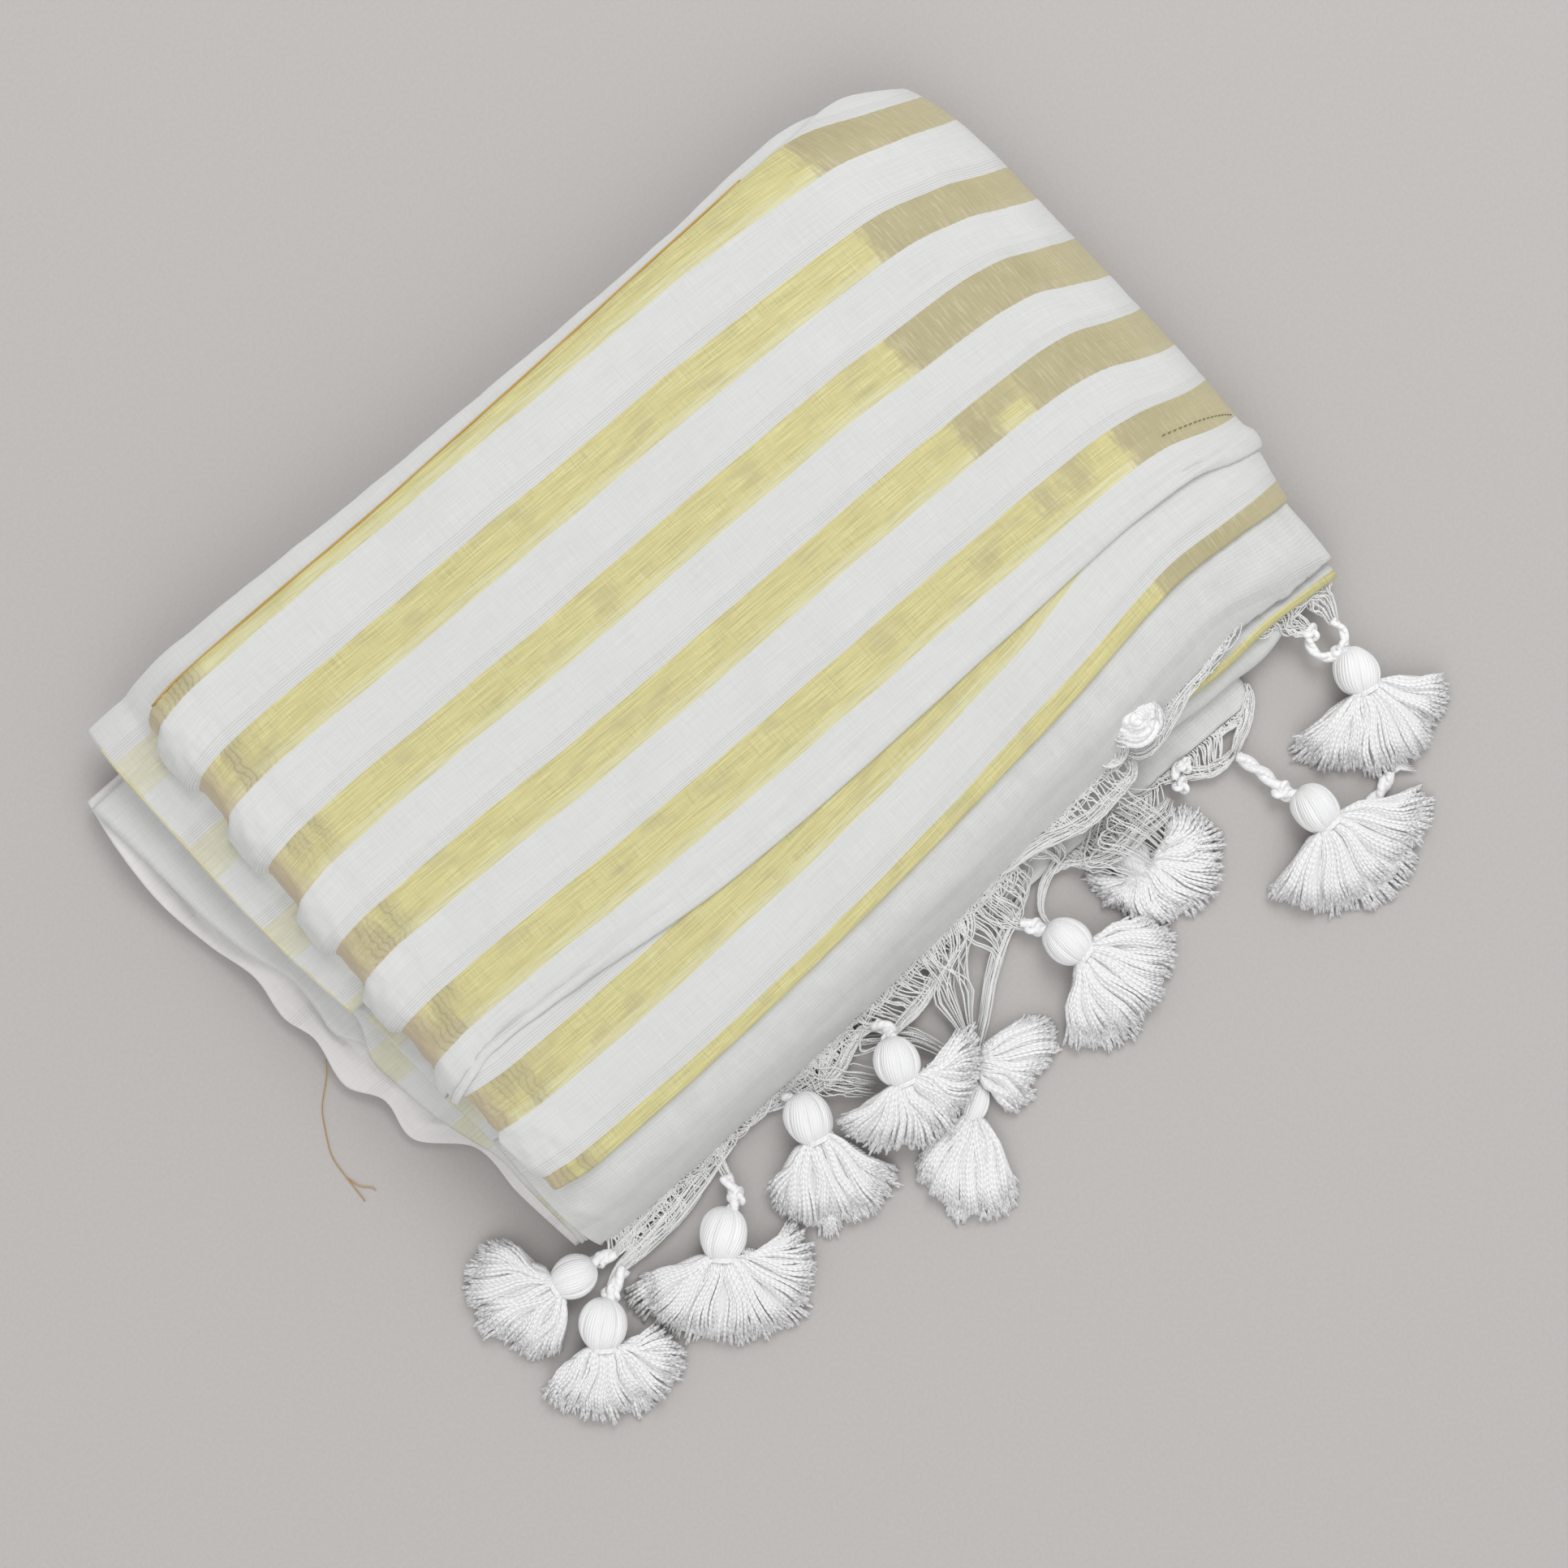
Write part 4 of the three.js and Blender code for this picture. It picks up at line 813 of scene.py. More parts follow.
B_CREASES = [
    (-172.5, 90, -171, 50, 1.3, 1.2), (-170.5, 52, -163, 14, 1.3, 1.2), (-162, 16, -162, -12, 1.2, 1.2),
    (-176, 80, -176.5, 40, 1.6, -0.9), (-166, 80, -167, 36, 2.5, -0.8), (-168, 14, -166, -22, 1.5, -0.9),
    (-163, -36, -152, -62, 1.5, 1.1), (-168, -46, -155, -54, 1.3, 0.8), (-159, -20, -156, -46, 1.2, 0.9),
    (-153, -70, -151, -104, 1.0, 0.6),
]


def under_layer_b():
    grid, uv = edge_sheet(B_EDGE, BODY_LEFT - 0.8, 10.5, 36, b_wave, B_CREASES)
    grid[..., 2] += 0.7
    return piece("under_layer_b_cloth", [shell(grid, uv)], SOFT_CLOTH, "cotton_white", "under_layer_b")


# Edges of the hidden layers that come out between the two: rows of y, x and z.
BETWEEN = [
    ([(92, -181.2, 9.5), (86, -179.6, 12), (63, -177, 13.5), (43, -175, 13.5), (27, -172, 13),
     (12, -167, 12.5), (1, -166.8, 12), (-9, -167.6, 11.5), (-19, -161.8, 11), (-27, -159.5, 11),
     (-45, -153, 12), (-70, -151, 12), (-106, -149.6, 9)], 17, 0.5),
    ([(70, -160, 22), (40, -160.5, 21), (10, -159.5, 19), (-10, -158.5, 17), (-22, -163.6, 14),
     (-34, -163, 11), (-46, -161, 11), (-58, -157.5, 11), (-70, -153.5, 12), (-82, -153, 11),
     (-106, -151.8, 6)], 24, 0.9),
    ([(40, -155, 27), (10, -155.5, 26), (-10, -155, 25), (-26, -153.5, 24), (-44, -152.8, 22),
     (-62, -150.8, 20), (-84, -150.6, 15), (-106, -150, 7)], 29, 0.7),
]
PAST_BANDS = 500                  # a length coordinate where the cloth has no bands


def between_layers():
    parts = []
    for k, (edge, inner_z, size) in enumerate(BETWEEN):
        grid, uv = edge_sheet(edge, BODY_LEFT + 2, inner_z, 14, lambda y: size * wobble(y, 31, k + 1.0),
                              length_from=137 + 8 * k if k else PAST_BANDS)
        grid, uv = rolled_edge(grid[::-1], uv[::-1], "last", radius=0.5, turn=10, tuck=0.5, steps=2)
        parts.append(shell(grid, uv))
    return piece("between_layers_cloth", parts, PALE_CLOTH, "cotton_white")


# ---- the hidden layers' folded edges
FOLD_LAYERS = 14
FOLD_TOP = 33.5
RING_COUNT = 150
RING_BACK = 100.0
FLOOR_GAP = 0.25                  # the lowest fold's height above the floor


def body_ring(z, inset):
    """A rounded outline of the hidden layers at a height, drawn in by an inset for each of its points."""
    k = np.arange(RING_COUNT) / RING_COUNT * 2 * np.pi
    a, b = np.cos(k), np.sin(k)
    size = (np.abs(a) ** 10 + np.abs(b) ** 10) ** 0.1
    a, b = a / size, b / size
    reach = smooth_read(REACH_Y, REACH_X, mix(-80, 95, (b + 1) / 2)) - ROUND_START
    if z <= ROUND_MID:
        right = ROUND_START + reach - ROUND_TUCK * ((ROUND_MID - z) / (ROUND_MID - ROUND_FOOT)) ** 2
    else:
        share = (z - ROUND_MID) / (STACK_TOP - ROUND_MID + 2)
        right = ROUND_START + reach * np.sqrt(max(0.0, 1 - share * share))
    right = right - 2.0
    x = mix((BODY_LEFT + right) / 2, np.where(a > 0, right - inset, BODY_LEFT + inset), np.abs(a))
    share = np.linspace(0, 1, 40)
    fy, fz = front_point(x[:, None], share[None])
    low = fz > z
    front = np.where(low.all(1), fy[:, -1], np.take_along_axis(fy, np.argmin(low, 1)[:, None], 1)[:, 0])
    front = np.where(z <= fz[:, -1], fy[:, -1] + 5, front + mix(5, 2.2, np.clip((z - fz[:, -1]) / 12, 0, 1)))
    y = mix((RING_BACK + front) / 2, np.where(b > 0, RING_BACK - inset, front + inset), np.abs(b))
    return stacked(x, y)


def hidden_folds():
    """Pairs of hidden layers, each a strip folded round at its edge, and a flat lowest layer."""
    parts = []
    section = np.linspace(0, np.pi, 6)
    high = FOLD_TOP / FOLD_LAYERS
    around = np.arange(RING_COUNT)
    for k in range(FOLD_LAYERS):
        base = FLOOR_GAP + k * high
        uneven = 0.9 + 0.9 * wobble(around, RING_COUNT / 3, k * 1.3) + 0.6 * abs(math.sin(k * 2.1))
        rows = []
        for inset, share in [(7, 0.05), *[(1.25 * (1 - math.sin(p)), (1 - math.cos(p)) / 2) for p in section],
                             (7, 0.95)]:
            z = base + (high - FLOOR_GAP) * share
            ring = body_ring(base + high / 2, inset + uneven)
            rows.append(np.concatenate([ring, np.full((RING_COUNT, 1), z)], 1))
        grid = np.array(rows)
        grid = np.concatenate([grid, grid[:, :1]], 1)
        around_it = run_length(grid, 1).mean(0) + 61 * k
        uv = stacked(around_it, run_length(grid)[:, :1])
        parts.append(shell(grid, uv, 0.3, flip=False))
    ring = body_ring(FLOOR_GAP + high / 2, 2.0)
    middle = ring.mean(0)
    share = np.linspace(0.02, 1, 14)[::-1, None, None]
    flat = middle + (np.concatenate([ring, ring[:1]]) - middle) * share
    lowest = np.concatenate([flat, np.full((*flat.shape[:2], 1), 0.5)], -1)
    parts.append(shell(lowest, flat.copy(), 0.3))
    return piece("hidden_folds_cloth", parts, PLAIN_CLOTH, "cotton_white", "body_stack")


# ---- layers under the end zone
SECOND_EDGE = [(44, -99.6, 9.5), (62, -98.6, 11.5), (90, -97.2, 15), (110, -97.6, 16), (130, -96.4, 15),
               (146, -97.4, 11), (156, -98.2, 8)]
GOLD_FROM = 195.6                 # cloth length where the stripe on the second layer's fold starts
BEFORE_GOLD = 15.2                # how much of the second layer's sheet lies before that stripe


def second_layer():
    edge = through(SECOND_EDGE, 90)
    turn = np.radians(np.linspace(-100, 95, 11))
    rows = [edge + [0, back, 0.14 * back] for back in (17.0, 13.0, 9.0, 5.0)]
    rows += [edge + np.array([0, 1.9 - 1.9 * math.cos(a), 1.9 * math.sin(a)]) for a in turn[::-1]]
    rows += [edge + [0, 7.5, -1.9]]
    grid = np.array(rows)
    grid[..., 2] += 0.25 * wobble(grid[..., 0], 15, 1.0)
    uv = stacked(grid[..., 0], GOLD_FROM - BEFORE_GOLD + run_length(grid))
    parts = [shell(grid, uv, flip=False)]
    return piece("second_layer_cloth", parts, FOLD_CLOTH, "pallu_striped", "second_layer")


def lower_roll():
    stations = through([(74, 0.35), (84, 0.8), (104, 1), (122, 1.08), (131, 0.8), (135, 0.35)], 60)
    x, size = stations[:, 0], stations[:, 1]
    turn = np.linspace(0, 2 * np.pi, 25)[:, None]
    ruck = 1 + 0.05 * np.sin(turn * 3 + x * 0.3)
    grid = stacked(x, -97.6 + 4.8 * size * ruck * np.cos(turn), 7.6 + 3.6 * size * ruck * np.sin(turn))
    uv = stacked(x, 14 + 5 * turn)
    return piece("lower_roll_cloth", [shell(grid, uv, flip=False)], PALE_CLOTH, "cotton_white", "lower_roll")


def third_hem_y(x):
    return -111 + 0.6 * np.maximum(0, x - 108)


def third_layer():
    x = np.arange(-6, 114.5, 1.5)
    t = np.linspace(0, 1, 12)[:, None]
    y = mix(-99.0, third_hem_y(x), t)
    z = mix(3.6, 2.6, t) + 0.7 * np.abs(np.sin(x / 5.2 + 0.4 * np.sin(x / 9))) * t + 0.3 * wobble(x, 12, 2.0)
    grid = stacked(x, y, z)
    uv = stacked(x, 260 - y)
    return piece("third_layer_cloth", [shell(grid, uv)], END_CLOTH, "cotton_white", "third_layer")


# ---- threads
THREAD_FLOOR = 0.5                # lowest height of a fine thread's centre
ROPE_POINTS = 200


def hem_at(x):
    z = np.maximum(smooth_read(STATION_X, END_HEM_Z, x), 2.2) + 0.2
    return stacked(x, line_y("endHem", x) - 0.3, z)


def second_at(x):
    """Under the second layer's fold."""
    keys, ys, zs = np.array(SECOND_EDGE, float).T
    return stacked(x, smooth_read(keys, ys, x) + 1.0, smooth_read(keys, zs, x) - 1.6)


def third_hem_at(x):
    return stacked(x, third_hem_y(x) - 0.2, np.full_like(x, 2.9))


def flow(hem, span, rope, joins, count, ahead=0.13, points=20, loose=0.7):
    """Threads that leave a stretch of hem, bend over into a gathered rope and run along it.

    rope has rows of x, y, z and width; joins is where along it the first and last thread meet it."""
    line = through(rope, ROPE_POINTS)
    rank = (np.arange(count) + DRAWS.random(count) * 0.9) / count
    root = hem(mix(span[0], span[1], rank))
    start = np.clip(mix(joins[0], joins[1], rank) + ahead * DRAWS.uniform(0.5, 1.4, count), 0, 0.94)
    free = points // 2
    along = np.concatenate([np.zeros(free), np.linspace(0, 1, points - free)])
    stop = 1 - 0.26 * DRAWS.random(count) ** 2
    share = start[:, None] + along * np.maximum(stop - start, 0.04)[:, None]
    at = np.clip((share * (ROPE_POINTS - 1)).astype(int), 0, ROPE_POINTS - 1)
    base = line[at]
    heading = unit(np.gradient(line[:, :3], axis=0))[at]
    across = DRAWS.uniform(-0.5, 0.5, count)
    up = DRAWS.uniform(-0.35, 0.35, count)
    path = base[..., :3].copy()
    width = base[..., 3]
    path[..., 0] -= heading[..., 1] * width * across[:, None]
    path[..., 1] += heading[..., 0] * width * across[:, None]
    path[..., 2] += width * 0.6 * up[:, None]
    joint, way = path[:, free], heading[:, free]
    reach = np.linalg.norm(joint - root, axis=1)[:, None]
    slant = DRAWS.uniform(0.05, 0.4, count)[:, None]
    near_hem = root + (np.array([0, -0.24, 0.02]) + way * slant) * reach
    near_rope = joint - way * 0.45 * reach
    t = np.linspace(0, 1, free + 1)[:-1][None, :, None]
    path[:, :free] = ((1 - t) ** 3 * root[:, None] + 3 * t * (1 - t) ** 2 * near_hem[:, None]
                      + 3 * t * t * (1 - t) * near_rope[:, None] + t**3 * joint[:, None])
    t = np.linspace(0, 1, points)
    where = t * 12 + rank[:, None] * 9 + DRAWS.uniform(0, 2.0, count)[:, None]
    sway = loose * np.sin(np.pi * t) * wobble(where, 5, 1.0)
    path[..., 1] += sway
    path[..., 0] += sway * 0.6
    path[..., 2] = np.maximum(path[..., 2], THREAD_FLOOR)
    return path


FRINGE_RADIUS = 0.25


def fringe(node, flows):
    """The threads of several flows, in place of a node of the fringe."""
    parts = []
    for row in flows:
        line = flow(*row)
        parts.append(tubes(line, FRINGE_RADIUS * (1 - 0.5 * np.linspace(0, 1, line.shape[1]) ** 6)))
    return piece(f"{node}_threads", parts, THREAD, "cotton_white", node)


LEFT_FLOWS = [
    (hem_at, (-93, -144), [(-86, -111.2, 3.6, 0.8), (-100, -112.8, 3.2, 3), (-112, -115.5, 3, 5),
     (-126, -118.3, 3, 6), (-140, -119.6, 3, 5), (-149, -120, 4, 3), (-156, -123.5, 5.5, 2)], (0.02, 0.72),
     80),
    (hem_at, (-116, -146), [(-118, -112, 4, 2), (-132, -113.6, 3.8, 3.5), (-143, -115, 4, 3.5),
     (-150, -114.8, 5, 2.5), (-155, -112.6, 6.5, 2)], (0.05, 0.75), 34),
    (hem_at, (-106, -99), [(-103, -113, 3.4, 4), (-104.5, -119, 3.5, 3), (-106, -125, 5, 2)], (0.0, 0.2),
     16, 0.05),
]
MIDDLE_FLOWS = [
    (hem_at, (-92, -47), [(-97, -112, 3.4, 1.5), (-84, -111.3, 3, 2), (-75, -113.8, 3, 3.2),
     (-66, -116, 3, 4.4), (-58, -116.4, 3.2, 4.4), (-50, -113.4, 3.6, 3.5), (-44, -111.8, 4.6, 3),
     (-40, -113.5, 7, 2.6), (-38.5, -118, 10, 2)], (0.02, 0.72), 66),
    (hem_at, (-70, -50), [(-62, -116, 3, 12), (-57, -121, 3, 11), (-51, -127.5, 3.5, 10)], (0.0, 0.1), 22,
     0.0),
]
CENTRE_FLOWS = [
    (hem_at, (5, -44), [(6, -108, 5, 1.5), (-6, -111, 4.5, 3), (-17, -114.2, 4, 4.2), (-27, -117, 4, 4.2),
     (-35, -117.8, 6, 3), (-39, -119, 9.5, 2)], (0.0, 0.86), 62),
    (hem_at, (-16, 6), [(-16, -122, 3.2, 13), (-19, -130, 3.2, 6), (-22, -138, 4, 3)], (0.0, 0.05), 30, 0.0,
     20, 0.15),
    (hem_at, (-1, 27), [(28, -107, 5, 2), (18, -113.5, 3.6, 4), (8, -117.4, 3.2, 4.2), (-3, -124.5, 3, 4),
     (-13, -133, 3, 3.6), (-21, -139, 4, 3)], (0.55, 0.0), 40, 0.05),
    (hem_at, (2, 24), [(11, -112, 4, 9), (13, -117, 4, 4), (16, -121, 4.5, 2)], (0.0, 0.1), 26, 0.0),
    (hem_at, (30, 42), [(36, -110.5, 3.6, 3), (28, -113, 3.4, 3), (21.5, -119, 3.6, 2),
     (20.5, -125, 5.5, 1.5)], (0.1, 0.0), 14, 0.05),
    (hem_at, (-60, -34), [(-46, -112, 4, 14), (-40, -117, 4, 9), (-33, -124, 4, 6), (-28, -136, 4, 4)],
     (0.0, 0.1), 22, 0.0),
    (hem_at, (10, 66), [(8, -101, 11, 1), (20, -101.5, 12, 2.4), (33, -102.3, 13, 3.4),
     (41, -104.5, 13, 4.2), (50, -106.2, 13, 4.4), (60, -105.4, 13.5, 4), (68, -104.2, 14, 3.2),
     (71, -101, 15, 2.6), (69, -97, 17, 2)], (0.03, 0.8), 60, 0.1),
    (hem_at, (114, 84), [(113, -92, 21.5, 1), (105, -93.6, 21, 3), (97, -95, 20, 4.2),
     (89, -97.6, 18.5, 4.2), (81, -101, 16.5, 3.8), (74, -100.5, 17, 3), (71, -96, 18.5, 2)], (0.02, 0.7),
     46, 0.1),
    (second_at, (139, 155), [(147.5, -101.5, 8, 9), (147.5, -104, 8, 6), (146, -109, 8.5, 3)], (0.0, 0.1),
     28, 0.0),
    (second_at, (124, 146), [(136, -100.8, 8.5, 9), (137.5, -103.5, 8.5, 6), (139, -107, 8.5, 3)],
     (0.0, 0.1), 30, 0.0),
]
THIRD_FLOWS = [
    (third_hem_at, (28, 74), [(33, -110.5, 3, 1), (41, -116.4, 6, 3.6), (50, -120, 9.4, 5),
     (60, -119, 9.4, 6), (69, -119.6, 7, 6), (74, -118, 4, 3.6)], (0.0, 0.8), 72, 0.1),
    (third_hem_at, (72, 100), [(70, -111, 3, 1), (79, -113.4, 3.4, 3.4), (86, -117.6, 3.5, 4),
     (92, -120.2, 3.6, 4), (98.5, -119.5, 4.5, 2.6)], (0.03, 0.8), 44, 0.1),
    (third_hem_at, (113, 96), [(115, -103, 3.4, 1), (113, -109, 3.2, 3), (107.5, -114.5, 3.2, 3.6),
     (102, -117.6, 3.4, 3.6), (97.5, -120, 4.5, 2.4)], (0.05, 0.6), 30, 0.1),
    (third_hem_at, (36, 74), [(52, -112, 8, 30), (56, -120, 10, 24), (59, -130, 9, 20)], (0.0, 0.1), 46,
     0.0),
]


# ---- tassels
# Head x, y, radius, flatness and height above the floor, and the skirt's outline: angle and length from
# the head's centre, where 0 is +X and 270 is -Y.
TASSELS = {
    1: (142, -124.5, 6.9, 1, 0, [(188, 30.5), (220, 31), (252, 33), (270, 33), (292, 31), (316, 30)]),
    2: (105.5, -148.5, 7.0, 1, 0, [(203, 32), (222, 31.5), (240, 32), (267, 35), (300, 35.5), (322, 37),
     (331, 34)]),
    3: (53, -123.2, 6.2, 0.62, 0, [(165, 14), (200, 16), (236, 20), (272, 26.5), (300, 29), (322, 28.5),
     (344, 27), (366, 20)]),
    4: (21.5, -131, 7.0, 1, 0, [(230, 34), (250, 35.5), (270, 35.5), (300, 34), (318, 33), (331, 31),
     (340, 29)]),
    5: (-42, -125, 7.0, 1, 6.7, [(188, 27), (212, 28), (235, 28), (263, 26.7), (290, 25.6), (321, 25.6),
     (344, 25)]),
    6: (-26, -139, 4.6, 0.58, 0, [(272, 21), (290, 23), (308, 22), (318, 26), (340, 29.5), (354, 24)]),
    7: (-32, -150.8, 4.6, 0.58, 0, [(186, 27), (200, 31), (216, 34.5), (234, 36.5), (246, 36.5),
     (256, 30)]),
    8: (-74, -121.5, 7.4, 1, 0, [(203, 26.7), (228, 35), (248, 36), (268, 35.5), (288, 32)]),
    9: (-116.5, -132, 7.5, 1, 0, [(170, 34), (183, 35.5), (204, 35.7), (251, 34), (280, 35), (302, 30),
     (326, 21)]),
    10: (-160, -112.5, 6.6, 1, 0, [(116, 24.6), (130, 32), (156, 34), (168, 33.5), (185, 30), (204, 28.5),
     (220, 25)]),
    11: (-162.5, -129.5, 7.4, 1, 0, [(188, 30), (214, 30), (253, 29.3), (275, 30), (299, 25.7), (314, 17)]),
}
CORDS = {
    1: [(142, -119, 8), (142.5, -116.5, 8.5)],
    2: [(104.5, -143.5, 7.5), (101.5, -137, 5), (100.5, -130, 4.8), (98, -121, 4.6)],
    4: [(20, -126.5, 7), (17.5, -122.5, 5), (14.5, -117.5, 4.6)],
    5: [(-40, -120.5, 13.5), (-37.5, -116.5, 10), (-40, -112.5, 6.5)],
    8: [(-74, -115.5, 7.5), (-75, -112, 4.4)],
    9: [(-111, -128.5, 8.5), (-106.5, -125.5, 5.5), (-105, -119, 4.4)],
    10: [(-155, -112.5, 7), (-151, -113.5, 5.5), (-146, -115.5, 4.5)],
    11: [(-158, -126, 7.5), (-153.5, -123.5, 5.6), (-147, -121, 4.6)],
}
FAR_CORD = [(109, -156, 4), (116, -158.6, 2.6), (124, -158.4, 2.4), (131, -155.4, 2.6)]
TIE_CORDS = [
    ([(139, -105, 8.5), (136.3, -109.5, 7), (137, -114.5, 7), (141.5, -117.5, 7.6)], 1.05),
    ([(146.3, -107.5, 8.6), (147, -112, 7.4), (144.5, -116.5, 7.6)], 0.95),
    ([(86, -113, 4.4), (82, -111.6, 5), (78.6, -114.5, 4.4)], 0.9),
]
KNOTS = [
    (101.5, -138.5, 5.4, 3.0), (16.5, -121.5, 5.2, 2.7), (-106.2, -126, 5.6, 2.7),
    (-154.5, -123.8, 5.4, 2.8), (-38.8, -118.5, 12.2, 2.5), (142.8, -116.8, 7.6, 3.0),
    (139, -106.5, 8.2, 2.5), (79, -117.2, 4.2, 2.5), (-151.5, -113.6, 5.2, 2.4), (83.5, -113, 5.0, 2.4),
]
LOCK_ROWS = [(10, 9, 1.0), (9, 9, 0.97), (8, 14, 0.92)]     # locks, yarns in each, share of the reach
YARN_RADIUS = 0.5
HEAD_LENGTH = 1.14                # a head's length over its width
HEAD_LENGTHS = {7: 1.5}           # the same for a tassel whose head is another shape
HEAD_SEED, SKIRT_SEED = 300, 100
ROW_LOCKS = 20                    # numbers kept for the locks of a row
MASS_LINES, MASS_POINTS = 90, 12  # size of the mass of yarn under the locks


def tassel_head(centre, axis, radius, flat, long, draws):
    """A soft egg of yarn with shallow lobes from its top to its neck, and the binding under it."""
    side = unit(np.cross(axis, [0, 0, 1.0]))
    up = np.cross(side, axis)
    polar = np.radians(np.linspace(3, 168, 24))[:, None]
    around = np.linspace(-0.5 * np.pi, 1.5 * np.pi, 97)[None]
    lobes = int(draws.integers(6, 9))
    turn = around + 0.22 * np.sin(around + draws.uniform(0, 6)) + 0.3 * (polar - 1.4)
    groove = (1 - np.abs(np.cos(lobes * turn / 2))) ** 3
    unevenness = 0.02 * np.sin(2 * around + 3 * polar + draws.uniform(0, 6))
    distance = radius * (1 - 0.10 * groove * np.sin(polar) ** 0.4 + unevenness)[..., None]
    grid = (centre - axis * (np.cos(polar) * radius * long)[..., None]
            + (side * np.cos(around)[..., None] + up * flat * np.sin(around)[..., None])
            * (np.sin(polar) ** 0.88)[..., None] * distance)
    uv = stacked(polar * radius * 0.12 + 0 * around, turn * radius * 0.48)
    ring = np.linspace(0, 4 * math.pi, 40)
    bind = [[centre + axis * (radius * 0.93 + 0.3 * t / math.pi)
             + (side * math.cos(t) + up * flat * math.sin(t)) * radius * 0.6 for t in ring]]
    return [shell(grid, uv, 0.8, flip=True), tubes(bind, 0.55, 6)]


def fan(centre, axis, radius, rise, angle, reach, lift, base, points):
    """Lines from a tassel's neck out to its skirt's edge: they start wide, beside the head, and bend down."""
    heading = stacked(np.cos(np.radians(angle)), np.sin(np.radians(angle)), 0 * angle)
    side = np.array([-axis[1], axis[0], 0])
    off_axis = np.radians(angle - np.degrees(math.atan2(axis[1], axis[0])))
    lean, ahead = np.sin(off_axis)[:, None], np.clip(np.cos(off_axis), 0, 1)[:, None]
    up = np.array([0, 0, 1.0])
    neck = centre + axis * radius * 0.82 + side * lean * radius * 0.74 + up * np.asarray(lift)[:, None]
    tip = centre * [1, 1, 0] + heading * reach[:, None]
    tip[:, 2] = rise + base
    far = np.linalg.norm((tip - neck)[:, :2], axis=1)[:, None]
    bend = neck + axis * far * 0.34 * ahead + side * lean * 0.46 * far
    bend[:, 2] = mix(neck[:, 2], tip[:, 2], 0.35) + 2.8
    t = np.linspace(0, 1, points)[None, :, None]
    return (1 - t) ** 2 * neck[:, None] + 2 * t * (1 - t) * bend[:, None] + t**2 * tip[:, None], heading


def lock_yarns(rows, low, high, draws):
    """Yarns in locks, row over row: their angle, place across the lock, share of the reach, row and lock."""
    angles, across, shares, row_of, lock_of = [], [], [], [], []
    for row, (locks, yarns, share) in enumerate(rows):
        middle = (np.arange(locks) + 0.5 + draws.uniform(-0.22, 0.22, locks)) / locks
        long = share * (1 + draws.uniform(-0.11, 0.04, locks))
        for k in range(locks):
            p = np.linspace(-1, 1, yarns) + draws.normal(0, 0.05, yarns)
            angles.append(mix(low, high, np.clip(middle[k] + p * 0.58 / locks, 0, 1)))
            across.append(p)
            shares.append(np.full(yarns, long[k]) - 0.035 * p * p)
            row_of.append(np.full(yarns, row))
            lock_of.append(np.full(yarns, ROW_LOCKS * row + k))
    return [np.concatenate(found) for found in (angles, across, shares, row_of, lock_of)]


YARN_WIDTHS = [0.9, 1.12, 1.2, 1.27, 1.32, 1.3, 1.15]


